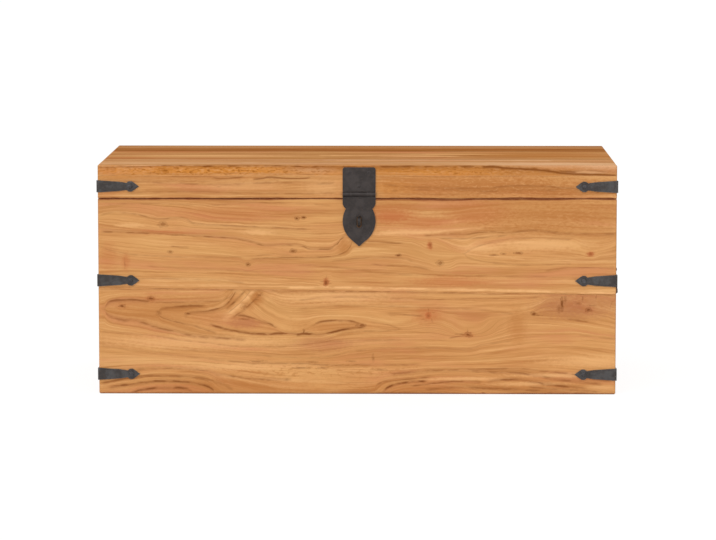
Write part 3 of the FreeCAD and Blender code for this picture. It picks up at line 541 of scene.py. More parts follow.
frontUpper = {
    "grain": "x", "seed": 1.0,
    "guides": [
        (0, ((-449, 190.4), (-275, 188.1), (-30, 185.0), (92, 182.6), (215, 180.8), (424, 178.9), (448, 178.9))),
        (9, ((-449, 197.4), (-377, 201.8), (-343, 202.9), (-274, 201.3), (-240, 199.6), (-196, 195.8), (-135, 192.7),
            (-68, 190.2), (-54, 186.7), (-40, 189.4), (5, 187.7), (92, 186.9), (215, 186.4), (319, 185.7),
            (448, 186.8))),
        (23, ((-449, 213.3), (-362, 216.1), (-274, 214.5), (-187, 212.0), (-100, 206.9), (-65, 205.2), (-54, 208.7),
            (-42, 205.2), (-21, 203.5), (75, 201.9), (180, 201.3), (319, 198.9), (448, 197.4))),
        (38, ((-449, 230.8), (-362, 224.0), (-274, 221.5), (-201, 219.0), (-189, 216.4), (-177, 219.0), (-100, 222.7),
            (-30, 222.8), (26, 225.6), (63, 223.7), (94, 221.3), (125, 216.3), (180, 213.6), (249, 213.7),
            (328, 215.6), (347, 217.9), (367, 220.1), (406, 220.5), (448, 219.7))),
        (52, ((-449, 256.5), (-418, 248.5), (-381, 243.3), (-327, 240.7), (-274, 239.6), (-204, 237.4), (-189, 233.1),
            (-173, 237.0), (-149, 237.5), (-117, 236.2), (-75, 236.3), (-44, 234.2), (2, 238.0), (42, 240.5),
            (75, 238.8), (96, 232.7), (127, 224.9), (144, 220.5), (166, 224.9), (187, 232.0), (235, 229.5),
            (307, 227.0), (371, 228.0), (448, 229.0))),
        (63, ((-449, 264.2), (-379, 255.5), (-309, 250.4), (-239, 245.3), (-183, 241.0), (-117, 239.9), (-75, 239.6),
            (-44, 241.6), (-22, 248.6), (-11, 261.5), (-7, 268.1), (2, 269.4), (22, 268.5), (37, 267.9), (63, 265.8),
            (78, 264.8), (110, 257.3), (126, 250.3), (145, 248.6), (187, 246.2), (197, 242.5), (214, 236.4),
            (235, 233.0), (307, 231.3), (371, 232.3), (448, 236.0))),
        (70, ((-449, 273.0), (-379, 267.8), (-323, 263.5), (-274, 262.8), (-204, 258.5), (-149, 253.3), (-128, 246.3),
            (-111, 244.6), (-94, 246.4), (-82, 247.3), (-54, 247.7), (-35, 253.5), (-23, 265.0), (-16, 272.0),
            (-4, 273.8), (22, 273.8), (75, 270.0), (110, 262.6), (126, 254.7), (145, 253.9), (187, 246.6),
            (249, 246.5), (319, 247.2), (389, 242.0), (404, 239.8), (420, 243.0), (448, 248.3))),
        (78, ((-449, 284.4), (-442, 283.9), (-338, 279.5), (-247, 275.1), (-215, 272.9), (-183, 267.3), (-149, 260.9),
            (-117, 261.6), (-96, 259.2), (-75, 253.8), (-54, 253.8), (-39, 259.3), (-28, 271.1), (-20, 277.2),
            (-2, 278.1), (40, 277.3), (92, 273.9), (113, 269.6), (126, 269.6), (144, 265.2), (171, 251.3),
            (187, 247.1), (197, 253.1), (215, 261.3), (258, 269.5), (306, 272.7), (371, 271.8), (404, 260.5),
            (448, 269.3))),
        (94, ((-449, 301.0), (-396, 293.2), (-342, 287.2), (-292, 284.6), (-229, 283.9), (-169, 280.5), (-100, 275.3),
            (-47, 273.7), (-28, 277.2), (-12, 282.5), (22, 285.2), (75, 280.0), (118, 277.1), (144, 278.6),
            (185, 279.5), (235, 283.8), (256, 283.0), (306, 285.9), (357, 281.9), (447, 281.0))),
        (110, ((-448, 311.5), (-415, 316.0), (-380, 313.8), (-353, 309.1), (-338, 305.6), (-323, 306.0),
            (-311, 305.6), (-281, 298.2), (-229, 295.6), (-138, 292.4), (-89, 290.8), (-30, 290.4), (22, 293.9),
            (75, 294.9), (127, 292.4), (179, 295.1), (249, 298.7), (319, 299.7), (388, 295.4), (447, 293.8))),
        (125, ((-448, 325.6), (-396, 330.0), (-344, 324.0), (-274, 311.8), (-229, 305.8), (-169, 303.3),
            (-117, 302.5), (-105, 300.7), (-93, 301.1), (-80, 302.5), (-30, 303.5), (22, 307.1), (59, 309.8),
            (127, 306.4), (211, 313.5), (284, 314.5), (353, 316.4), (447, 313.0))),
        (141, ((-448, 335.2), (-361, 333.6), (-274, 325.8), (-229, 318.9), (-169, 316.4), (-117, 314.7),
            (-100, 316.5), (-30, 317.5), (59, 326.4), (127, 321.2), (210, 328.4), (318, 331.2), (447, 330.5))),
        (157, ((-448, 342.2), (-274, 337.2), (-169, 334.8), (-47, 333.2), (75, 335.2), (179, 334.4), (318, 339.9),
            (447, 340.1))),
    ],
    "streaks": [
        # the first streak paints the shade in the gap under the lid along this board's top
        seams["partingShadeBelow"], seams["jointAbove"],
        (1.8, 0.47, -4, ((-380, 314.3), (-338, 307.2), (-311, 309.1), (-281, 298.7), (-229, 295.6), (-138, 292.4),
            (-89, 290.8))),
        (1.6, 0.68, 4, ((-442, 283.9), (-338, 279.5), (-247, 275.1), (-215, 272.9), (-183, 267.3), (-149, 260.9),
            (-117, 261.6), (-96, 259.2), (-75, 253.8), (-54, 253.8), (-39, 259.3), (-28, 271.1), (-20, 277.2))),
        (1.4, 0.55, -3, ((-184, 236.6), (-117, 238.8), (-75, 238.9), (-44, 241.2), (-22, 248.6), (-11, 261.5),
            (-8, 268.8))),
        (2.2, 0.30, 3, ((-444, 313.5), (-415, 317.0), (-380, 314.3))),
        (1.6, 0.30, 3, ((-449, 256.5), (-418, 248.5), (-381, 243.3), (-274, 239.6), (-192, 240.1), (-149, 243.7),
            (-114, 242.0))),
        (1.4, 0.47, 3, ((-323, 258.5), (-309, 256.9), (-293, 255.7))),
        (1.8, 0.30, 3, ((-377, 201.8), (-343, 202.9), (-240, 199.6), (-196, 195.8))),
        (1.4, 0.51, 3, ((22, 268.5), (37, 267.9), (63, 265.8), (78, 264.8))),
        (1.6, 0.34, 3, ((-44, 232.3), (2, 238.0), (42, 240.5), (75, 238.8), (96, 232.7))),
        (1.6, 0.38, 3, ((26, 227.8), (63, 225.5), (94, 223.4), (126, 218.0))),
        (1.9, 0.51, -4, ((118, 277.1), (144, 278.6), (184, 279.5), (235, 283.8), (256, 283.0), (306, 285.9),
            (357, 281.9), (447, 281.0))),
        (1.6, 0.38, 3, ((144, 272.3), (185, 272.3), (214, 274.1), (258, 277.7))),
        (1.4, 0.34, 3, ((187, 246.9), (197, 253.1), (215, 261.3), (258, 269.5), (306, 272.7), (371, 271.8))),
        (1.4, 0.34, 3, ((187, 246.0), (193, 239.0), (235, 229.8), (307, 227.0), (371, 228.0))),
        (1.4, 0.47, 3, ((328, 216.1), (347, 218.6), (367, 220.8), (406, 221.2), (448, 220.2))),
        (2.2, 0.26, 3, ((-100, 226.2), (-30, 221.1), (75, 210.7), (180, 208.3), (319, 205.9), (424, 200.9))),
        (1.8, 0.26, 3, ((-431, 330.8), (-361, 333.6), (-274, 330.2), (-169, 334.8), (-47, 329.7))),
        (1.8, 0.24, 3, ((-362, 224.0), (-274, 219.7), (-170, 214.7), (-65, 214.0))),
    ],
    "paleStreaks": [
        (2.4, 0.95, 3, ((-120, 186.6), (-40, 187.0), (60, 185.6), (180, 183.4), (320, 180.4), (450, 179.2))),
        (1.6, 0.5, 2, ((-440, 191.6), (-200, 189.4), (-40, 187.6))),
        (1.8, 0.6, 3, ((40, 283.0), (110, 282.4), (170, 287.0), (215, 290.0))),
        (1.3, 0.5, 2, ((187, 248.5), (215, 258.0), (250, 264.0), (306, 267.0))),
        (1.3, 0.45, -2, ((187, 247.0), (235, 241.5), (300, 236.0), (380, 234.0))),
    ],
    # painted shade behind the staple slot and under the hasp's roll
    "stains": [(3.5, 303, 9, 15, 0.85), (3.5, 341, 24, 4, 0.6)],
    "knots": [
        (-104, 308.4, 4.4, 2.6, 0.95),
        (-93, 309.7, 4.0, 2.6, 0.95),
        (-111, 250.4, 6.4, 3.6, 0.85),
        (-189, 227.3, 4.2, 3.0, 0.9),
        (-325, 248.8, 4.6, 3.0, 0.6),
        (-337, 297.4, 8.0, 5.0, 0.55),
        (72, 243.9, 5.0, 2.6, 0.95),
        (144, 228.8, 6.4, 4.6, 0.6),
        (280, 247.3, 8.0, 2.2, 0.9),
        (237, 244.0, 8.0, 2.0, 0.6),
        (254, 246.2, 5.0, 2.0, 0.6),
        (-54, 195.0, 4.0, 5.6, 0.75), (-61, 197.0, 3.6, 0.9, 0.4), (-47, 194.0, 3.4, 0.9, 0.35),
            (-54, 203.5, 0.9, 4, 0.35),
        (127, 261.5, 3.0, 5.0, 0.5), (405, 245.4, 5.0, 3.0, 0.45), (-404, 228, 1.2, 8, 0.3),
    ],
    "reds": [
        (-54, 195.4, 4.5, 7.3, 0.9),
        (126, 260.3, 4.2, 6.3, 0.9),
        (405, 245.4, 5.9, 3.8, 0.9),
        (59, 314.1, 38.3, 13.9, 0.8),
        (211, 316.4, 50.0, 17.0, 0.6),
        (162, 198.6, 59.2, 7.8, 0.5),
        (-223, 316.3, 90.0, 13.0, 0.3),
        (-342, 281.9, 45.3, 3.8, 0.5),
        (118, 302.0, 45.3, 8.7, 0.5),
        (-402, 232, 6, 14, 0.45), (-432, 238, 14, 22, 0.3),
    ],
    "pales": [
        (-394, 295.9, 20.9, 3.8, 0.55),
        (92, 283.6, 59.2, 4.5, 0.55),
        (218, 256.6, 34.8, 7.0, 0.55),
        (-172, 284.3, 24.4, 4.2, 0.55),
        (319, 262.1, 69.7, 8.7, 0.55),
    ],
    "browns": [
        (340, 312, 110, 30, 0.7), (280, 330, 90, 12, 0.55), (190, 322, 50, 14, 0.45), (400, 286, 60, 14, 0.4),
            (-22, 256, 10, 12, 0.6), (62, 330, 60, 10, 0.4),
    ],
    "curls": [(350, 310, 110, 28, 0.6), (250, 318, 50, 20, 0.4)],
}

frontLower = {
    "grain": "x", "seed": 2.0,
    "guides": [
        (0, ((-451, 9.4), (-433, 11.7), (-389, 17.7), (-344, 22.4), (-298, 21.4), (-279, 18.8), (-264, 14.6),
            (-254, 9.0), (-246, 0.1), (-223, -12.2), (-100, -19.0), (23, -11.6), (44, 2.6), (55, 11.4), (69, 17.8),
            (95, 22.2), (119, 23.6), (163, 21.4), (215, 15.4), (250, 10.1), (303, 3.2), (373, -5.5), (450, -12.4))),
        (19, ((-451, 33.3), (-384, 41.9), (-321, 45.4), (-275, 43.2), (-241, 34.5), (-205, 25.9), (-170, 18.0),
            (-118, 11.0), (-47, 7.7), (5, 6.0), (30, 7.8), (40, 15.0), (63, 24.2), (94, 27.5), (128, 31.1),
            (180, 32.1), (233, 29.5), (271, 25.7), (299, 21.7), (328, 17.7), (375, 11.7), (450, 5.3))),
        (35, ((-451, 47.4), (-380, 52.9), (-310, 54.0), (-240, 48.8), (-170, 42.8), (-100, 38.5), (-30, 35.1),
            (23, 34.4), (75, 37.1), (128, 40.3), (198, 41.5), (220, 40.1), (275, 38.1), (300, 34.1), (355, 25.4),
            (450, 15.9))),
        (50, ((-450, 68.7), (-380, 67.1), (-310, 63.7), (-226, 57.9), (-198, 56.1), (-172, 53.9), (-100, 53.7),
            (-30, 49.5), (3, 50.6), (63, 51.8), (110, 52.6), (180, 55.1), (250, 57.0), (303, 60.6), (355, 62.5),
            (407, 58.2), (449, 53.0))),
        (70, ((-450, 91.6), (-398, 87.3), (-339, 79.9), (-275, 75.4), (-184, 68.7), (-100, 64.1), (-75, 64.2),
            (-43, 66.9), (-1, 76.0), (73, 81.1), (145, 80.9), (185, 78.9), (216, 85.1), (267, 93.4), (302, 98.6),
            (355, 100.4), (449, 93.6))),
        (89, ((-450, 116.4), (-433, 113.8), (-363, 104.2), (-275, 92.0), (-214, 84.2), (-166, 80.8), (-117, 81.8),
            (-74, 86.3), (-39, 91.6), (5, 94.4), (75, 96.3), (128, 94.7), (171, 93.0), (206, 95.7), (250, 105.5),
            (285, 112.6), (355, 112.8), (407, 107.6), (449, 102.4))),
        (104, ((-450, 147.8), (-439, 147.8), (-437, 141.1), (-432, 134.9), (-411, 128.1), (-382, 125.9),
            (-352, 116.7), (-320, 109.9), (-275, 100.8), (-234, 97.4), (-196, 95.7), (-152, 94.1), (-105, 94.2),
            (-65, 94.8), (-47, 99.6), (-22, 106.7), (10, 108.9), (49, 110.0), (75, 111.3), (127, 108.8), (192, 101.0),
            (250, 116.1), (302, 126.7), (355, 123.3), (424, 114.7), (449, 111.2))),
        (117, ((-450, 147.9), (-439, 148.0), (-397, 144.3), (-346, 142.2), (-344, 137.7), (-338, 132.5),
            (-316, 126.0), (-284, 119.2), (-263, 112.3), (-247, 108.8), (-211, 105.4), (-179, 102.8), (-156, 101.6),
            (-126, 102.0), (-104, 103.9), (-92, 104.8), (-75, 103.9), (-54, 106.6), (-37, 110.2), (-22, 114.1),
            (-7, 116.9), (12, 119.1), (49, 114.8), (75, 113.1), (127, 113.2), (192, 102.7), (250, 121.4),
            (302, 133.8), (354, 132.1), (424, 123.5), (449, 118.2))),
        (125, ((-450, 148.1), (-439, 148.1), (-346, 142.5), (-298, 138.5), (-257, 132.6), (-209, 125.7),
            (-166, 120.5), (-142, 116.1), (-105, 107.7), (-82, 112.7), (-47, 117.2), (-12, 119.9), (12, 120.3),
            (75, 115.7), (127, 119.3), (192, 103.6), (250, 126.6), (302, 139.1), (354, 140.9), (402, 139.3),
            (449, 130.6))),
        (118, ((-450, 148.3), (-439, 148.3), (-346, 142.9), (-298, 138.7), (-293, 142.1), (-279, 144.2),
            (-259, 145.5), (-243, 149.1), (-229, 156.0), (-218, 168.8), (-210, 178.0), (-200, 172.0), (-188, 157.0),
            (-175, 144.0), (-163, 134.0), (-152, 126.0), (-142, 118.5), (-105, 108.1), (-93, 110.9), (-75, 120.3),
            (-71, 123.5), (-54, 128.1), (-33, 129.4), (-11, 127.9), (2, 124.5), (11, 120.9), (49, 117.4), (75, 115.7),
            (127, 122.9), (192, 104.5), (250, 130.2), (302, 142.2), (354, 151.5), (402, 145.4), (449, 135.9))),
        (111, ((-450, 148.5), (-439, 148.5), (-346, 143.0), (-344, 146.9), (-341, 150.1), (-324, 152.6),
            (-309, 153.5), (-284, 154.6), (-264, 154.5), (-250, 156.4), (-236, 162.6), (-226, 172.3), (-217, 183.8),
            (-209, 189.0), (-197, 183.0), (-184, 169.0), (-168, 154.0), (-150, 142.0), (-130, 134.0), (-100, 128.6),
            (-65, 134.8), (-30, 136.6), (5, 134.1), (40, 128.8), (75, 123.6), (124, 129.0), (162, 122.9),
            (192, 108.9), (232, 126.6), (302, 145.2), (354, 165.6), (401, 155.1), (449, 142.9))),
        (104, ((-450, 148.6), (-439, 148.7), (-437, 154.3), (-432, 160.1), (-423, 163.5), (-388, 164.8),
            (-366, 163.6), (-359, 161.0), (-318, 161.1), (-275, 161.5), (-243, 162.8), (-226, 171.5), (-219, 180.3),
            (-213, 190.8), (-205, 195.0), (-189, 189.0), (-170, 174.0), (-148, 160.0), (-117, 149.0), (-65, 148.0),
            (5, 149.9), (75, 145.7), (124, 146.6), (162, 142.3), (215, 140.7), (271, 140.8), (319, 154.9),
            (354, 169.1), (401, 163.9), (449, 151.7))),
        (90, ((-450, 164.0), (-423, 171.9), (-388, 175.5), (-345, 173.9), (-292, 173.1), (-248, 174.9), (-229, 182.0),
            (-219, 192.6), (-212, 199.6), (-187, 194.4), (-166, 180.4), (-143, 171.6), (-100, 165.5), (5, 169.3),
            (110, 166.0), (215, 167.1), (319, 170.8), (389, 173.6), (448, 164.0))),
        (80, ((-450, 184.2), (-275, 183.7), (-166, 188.3), (-143, 185.7), (-100, 179.1), (-30, 178.9), (75, 178.4),
            (180, 174.9), (319, 175.2), (448, 175.4))),
    ],
    "streaks": [
        # the foot streak paints shade along the bottom edge, where the chest meets the floor
        seams["jointBelow"], seams["foot"],
        (2.6, 0.78, -5, ((-439, 148.7), (-437, 154.3), (-432, 160.1), (-422, 163.5), (-388, 164.8), (-366, 163.6),
            (-359, 167.1))),
        (2.6, 0.6, 6, ((-439, 147.8), (-437, 141.1), (-432, 134.9), (-411, 128.1), (-382, 125.9), (-352, 116.7),
            (-320, 109.9), (-275, 100.8), (-234, 97.4), (-196, 94.8))),
        (2.4, 0.75, -4, ((-346, 143.0), (-344, 146.9), (-340, 150.1), (-324, 152.6), (-309, 153.5), (-284, 154.6),
            (-264, 154.5))),
        (1.8, 0.55, 3, ((-346, 142.2), (-344, 137.7), (-338, 132.5), (-316, 126.0), (-284, 119.2), (-263, 112.3),
            (-247, 107.1))),
        (2.2, 0.75, -5, ((-298, 138.5), (-293, 142.1), (-279, 144.2), (-259, 145.5), (-243, 149.1), (-229, 156.0),
            (-218, 168.8), (-211, 180.3))),
        (1.6, 0.42, 3, ((-359, 161.0), (-275, 161.5), (-243, 162.8), (-226, 167.9), (-220, 172.0), (-214, 181.7))),
        (2.0, 0.7, 3, ((-209, 137.7), (-195, 136.5), (-179, 131.9), (-166, 127.0), (-154, 124.0), (-142, 117.2))),
        (2.4, 0.9, 3, ((-254, 121.5), (-243, 118.0), (-229, 113.5), (-211, 110.2), (-197, 108.2), (-179, 106.3),
            (-156, 105.2), (-136, 106.6), (-104, 105.8))),
        (2.4, 0.8, 4, ((-226, 150), (-212, 163), (-200, 175), (-192, 184))),
        (1.2, 0.4, 1.5, ((-224, 142), (-208, 156), (-194, 170), (-184, 182))),
        (2.0, 0.65, -4, ((-214, 135), (-198, 147), (-186, 158), (-172, 172), (-162, 183))),
        (1.8, 0.8, 2, ((-75, 120.3), (-71, 123.5), (-54, 128.1), (-32, 129.4), (-11, 127.9), (2, 124.5),
            (11, 120.5))),
        (2.2, 1.0, -3, ((-104, 104.7), (-92, 105.5), (-75, 104.3), (-54, 106.6), (-37, 110.2), (-22, 114.1),
            (-7, 116.9), (12, 119.4))),
        (1.4, 0.38, 3, ((-32, 104.9), (10, 110.6), (49, 111.4), (66, 112.3), (75, 114.6))),
        (1.4, 0.30, 3, ((26, 127.1), (49, 123.4), (64, 119.2), (75, 115.0))),
        (1.4, 0.51, 3, ((56, 140.9), (84, 139.3), (113, 137.6))),
        (1.4, 0.42, 3, ((161, 98.3), (176, 101.1), (189, 103.8))),
        (1.4, 0.47, 3, ((367, 132.9), (382, 130.8), (400, 128.2))),
        (1.6, 0.30, 3, ((388, 104.0), (418, 100.6), (449, 97.5))),
        (1.4, 0.51, 3, ((439, 142.0), (440, 153.4), (442, 160.1), (447, 165.2), (449, 171.0))),
        (2.4, 0.85, 4, ((229, 21.8), (243, 23.7), (271, 25.7), (299, 21.7), (328, 17.7), (375, 11.7), (397, 9.4))),
        (2.6, 0.6, 5, ((198, 41.5), (220, 40.1), (275, 38.1), (300, 34.1), (355, 25.4), (425, 17.6))),
        (2.4, 1.0, -3, ((45, 3.3), (49, 7.5), (54, 11.4), (69, 17.8), (95, 22.2), (119, 23.6))),
        (1.6, 0.7, 3, ((96, 14.4), (119, 17.6), (144, 21.0), (180, 22.7), (215, 21.0))),
        (2.4, 0.5, 3, ((31, 4.3), (32, 10.5), (38, 17.8), (49, 22.0), (63, 24.2), (94, 27.5), (128, 31.1))),
        (2.6, 0.85, -4, ((-433, 11.7), (-389, 17.7), (-344, 22.4), (-298, 21.4), (-279, 18.8), (-264, 14.6),
            (-254, 9.0), (-248, 1.9))),
        (2.4, 0.88, -4, ((-397, 0.8), (-367, 8.7), (-332, 10.9), (-303, 9.9), (-293, 7.1), (-287, 2.7))),
        (2.4, 0.6, 4, ((-444, 19.1), (-398, 27.0), (-346, 31.4), (-293, 30.1), (-249, 21.4), (-219, 9.0))),
        (2.6, 0.55, 4, ((-384, 42.5), (-321, 45.4), (-275, 43.2), (-241, 34.5), (-184, 27.4), (-118, 25.2))),
        (1.8, 0.30, 3, ((-339, 79.9), (-275, 75.4), (-184, 68.7), (-100, 64.1), (-75, 64.2), (-43, 66.9), (-1, 76.0),
            (73, 81.1), (145, 80.9), (185, 78.9), (216, 85.1), (267, 93.4))),
        (1.8, 0.42, 3, ((-226, 57.9), (-198, 56.1), (-172, 53.9), (-100, 53.7), (-30, 49.5), (3, 50.6), (63, 51.8),
            (110, 52.6))),
        (1.8, 0.30, 3, ((-443, 109.3), (-362, 102.4), (-275, 90.3), (-166, 82.5), (-47, 92.5), (75, 96.3))),
        (1.8, 0.26, 3, ((-443, 82.8), (-363, 72.4), (-275, 63.8), (-230, 58.6))),
        (1.8, 0.30, 3, ((-100, 165.5), (5, 171.0), (110, 166.0), (215, 167.9), (319, 169.9))),
        (1.8, 0.26, 3, ((-100, 149.7), (5, 155.7), (110, 152.4), (215, 148.0), (271, 140.8))),
        (1.8, 0.34, 3, ((-47, 178.5), (5, 179.1), (75, 178.7), (99, 178.1))),
        (2.6, 0.9, -2, ((-106, 104.6), (-100, 104.8), (-92, 105.6), (-84, 105.2))),
        (2.2, 0.85, 2, ((-2, 121.0), (6, 121.6), (14, 120.2))),
        (2.4, 0.55, 4, ((120, 8.0), (180, 12.0), (240, 10.5), (330, 4.5), (400, 0.5))),
        (2.4, 0.5, -5, ((60, 36.0), (120, 41.0), (200, 43.0), (260, 46.0), (330, 40.0), (440, 24.0))),
        (2.0, 0.5, 3, ((300, 12.0), (350, 8.0), (420, 4.0))),
    ],
    "paleStreaks": [
        (7.0, 0.75, 3, ((-232, 133), (-218, 144), (-204, 157), (-190, 171), (-178, 184))),
        (2.4, 0.5, -3, ((-262, 148), (-244, 153), (-230, 162), (-220, 174))),
    ],
    "knots": [
        (194, 104.4, 6.5, 4.2, 0.9), (183, 105.5, 11, 1.6, 0.5), (192, 109, 1.2, 6, 0.4),
        (307, 140.5, 5.6, 3.2, 0.9), (313, 138, 8, 1.4, 0.5),
        (356, 158.0, 2.6, 12, 1.0), (351, 150, 4, 6, 0.45), (361, 166, 3, 7, 0.4),
        (402, 147.8, 5.2, 3.4, 0.95), (384, 160, 6, 3, 0.4), (392, 168, 1.6, 7, 0.4), (408, 156, 8, 1.4, 0.4),
        (-359, 168.4, 5.5, 3.4, 0.9), (-352, 166, 5, 1.6, 0.5),
        (-409, 154.2, 6.0, 2.6, 0.9),
        (7, 121.7, 8.0, 2.6, 0.85),
        (-295, 140.7, 5.6, 2.3, 0.85),
        (-195, 153.9, 7.3, 5.9, 0.4),
        (-93, 108.6, 2.1, 4.2, 0.85),
        (415, 172.7, 1.4, 7.0, 0.4),
        (28, 62.7, 2.4, 7.0, 0.4),
        (221, 3.0, 7.0, 1.6, 0.85),
        (-345, 142.2, 5.2, 5.9, 0.4),
        (124, 138.2, 2.6, 2.6, 0.5), (124, 148.5, 0.9, 5, 0.35), (132, 143, 2.6, 1.0, 0.35), (115, 132, 3, 1.0, 0.3),
            (130, 130, 1.0, 4, 0.3),
        (-175, 57, 16, 2.2, 0.5), (-78, 56, 10, 2, 0.5), (-10, 57, 8, 2, 0.45), (-98, 45.5, 14, 2, 0.55),
            (-60, 45, 8, 2, 0.5), (40, 43, 12, 1.8, 0.4),
        (-170, 174, 5, 1.6, 0.6), (-176, 166, 4, 1.4, 0.55), (-196, 131, 9, 1.6, 0.5),
    ],
    "reds": [
        (124, 138.2, 8.0, 7.7, 0.9),
        (-195, 124.0, 24.4, 8.7, 0.3),
        (-60, 87.2, 34.8, 8.7, 0.2),
        (124, 138.7, 20.9, 13.9, 0.5), (194, 105, 9, 5, 0.5), (384, 158, 18, 10, 0.45), (402, 148, 8, 6, 0.5),
            (-409, 154, 9, 4, 0.35), (-359, 168, 8, 6, 0.5),
    ],
    "pales": [
        (-275, 90.3, 139.4, 10.5, 0.5),
        (-47, 170.1, 87.1, 8.7, 0.5),
        (407, 58.1, 69.7, 8.5, 0.5), (360, 33, 80, 3.5, 0.7), (300, 18, 60, 3, 0.6), (190, 27, 60, 2.5, 0.6),
            (425, 12, 24, 3, 0.5),
        (-205, 48.0, 104.5, 5.2, 0.5),
    ],
    "mauves": [(384, 156, 66, 20, 0.55), (-195, 124.0, 26, 8.0, 0.4), (-60, 88, 44, 12, 0.35),
        (430, 160, 24, 16, 0.45), (345, 168, 16, 14, 0.4)],
    "curls": [(-60, 40, 170, 12, 0.55), (70, 44, 60, 8, 0.4), (400, 160, 60, 20, 0.35)],
    "browns": [
        (-176, 170, 12, 12, 0.9), (-186, 158, 8, 8, 0.6), (-222, 160, 8, 20, 0.5),
        (-345, 148.3, 97.6, 20.9, 0.5),
        (-223, 9.0, 122.0, 15.7, 0.5),
        (110, 9.8, 104.5, 10.5, 0.5),
        (320, 13.8, 104.5, 12.2, 0.5),
        (279, 119.7, 13.9, 27.9, 0.5),
        (-47, 117.2, 52.3, 8.7, 0.5),
    ],
}


lidRail = {
    "grain": "x", "seed": 3.0,
    "guides": [
        (0, ((-448, 345.7), (-274, 344.2), (-47, 343.7), (75, 345.6), (249, 345.0), (447, 343.6))),
        (12, ((-448, 357.1), (-361, 359.8), (-274, 358.2), (-169, 355.7), (-47, 359.4), (40, 364.8), (109, 361.4),
            (214, 358.1), (353, 356.6), (447, 355.0))),
        (26, ((-448, 367.5), (-364, 372.6), (-274, 372.2), (-228, 371.4), (-194, 372.3), (-152, 375.9), (-99, 380.7),
            (-47, 378.6), (40, 375.3), (127, 373.7), (248, 375.6), (353, 370.5), (447, 365.4))),
        (35, ((-448, 378.0), (-361, 379.0), (-274, 380.9), (-194, 380.5), (-99, 387.3), (-47, 389.1), (40, 387.5),
            (144, 389.4), (255, 393.9), (325, 389.7), (375, 384.5), (407, 381.1), (447, 379.4))),
    ],
    "streaks": [
        # the first streak paints the shade in the gap under the lid along the rail's lower edge
        seams["partingShadeAbove"], seams["railTop"],
        (1.5, 0.6, 3, ((-250, 377.6), (-234, 376.0), (-216, 376.8), (-198, 378.8))),
        (1.6, 0.75, 3, ((-178, 375.2), (-164, 376.4), (-150, 378.6), (-128, 377.6), (-104, 377.4), (-82, 378.8)),
            "seam"),
        (1.0, 0.3, 3, ((-366, 372.4), (-320, 372.2), (-262, 371.4), (-230, 372.0))),
        (1.2, 0.35, -3, ((-400, 379.6), (-330, 380.6), (-250, 380.2), (-196, 381.0))),
        (1.1, 0.3, 3, ((40, 352.0), (120, 350.0), (230, 351.0), (360, 349.5), (440, 350.0))),
        (2.6, 0.4, 6, ((-440, 372), (-330, 368.5), (-230, 366), (-120, 370), (-40, 369.0))),
        (2.2, 0.42, -6, ((46, 366), (110, 363), (200, 361), (290, 364), (370, 360), (440, 358))),
        (2.0, 0.34, 5, ((-400, 351), (-280, 353.5), (-150, 350), (-40, 352))),
        (2.4, 0.38, 6, ((60, 356), (140, 359), (240, 355), (330, 357), (420, 353))),
    ],
    "knots": [(-240, 362, 5, 1.6, 0.25)],
    # painted shade on the rail, seen between the knuckles of the hasp's roll
    "stains": [(3.5, 350, 24, 9, 0.95)],
    "reds": [(130, 357, 46, 9, 0.4), (300, 352, 80, 6, 0.4), (-430, 352, 20, 8, 0.3), (210, 364, 26, 6, 0.35)],
    "golds": [(60, 360, 40, 10, 0.4), (-420, 380, 40, 4, 0.4)],
    "browns": [(240, 366, 170, 16, 0.85), (100, 368, 70, 9, 0.75), (340, 358, 70, 14, 0.65), (64, 356, 20, 18, 0.55),
        (-300, 376, 150, 5, 0.4), (-250, 356, 120, 3, 0.3), (150, 352, 120, 7, 0.6)],
    "pales": [(-60, 362, 30, 12, 0.4), (-200, 364, 60, 7, 0.3), (20, 352, 14, 10, 0.3)],
    "curls": [(250, 362, 190, 22, 0.95), (80, 362, 40, 16, 0.6), (-260, 374, 170, 8, 0.4)],
}

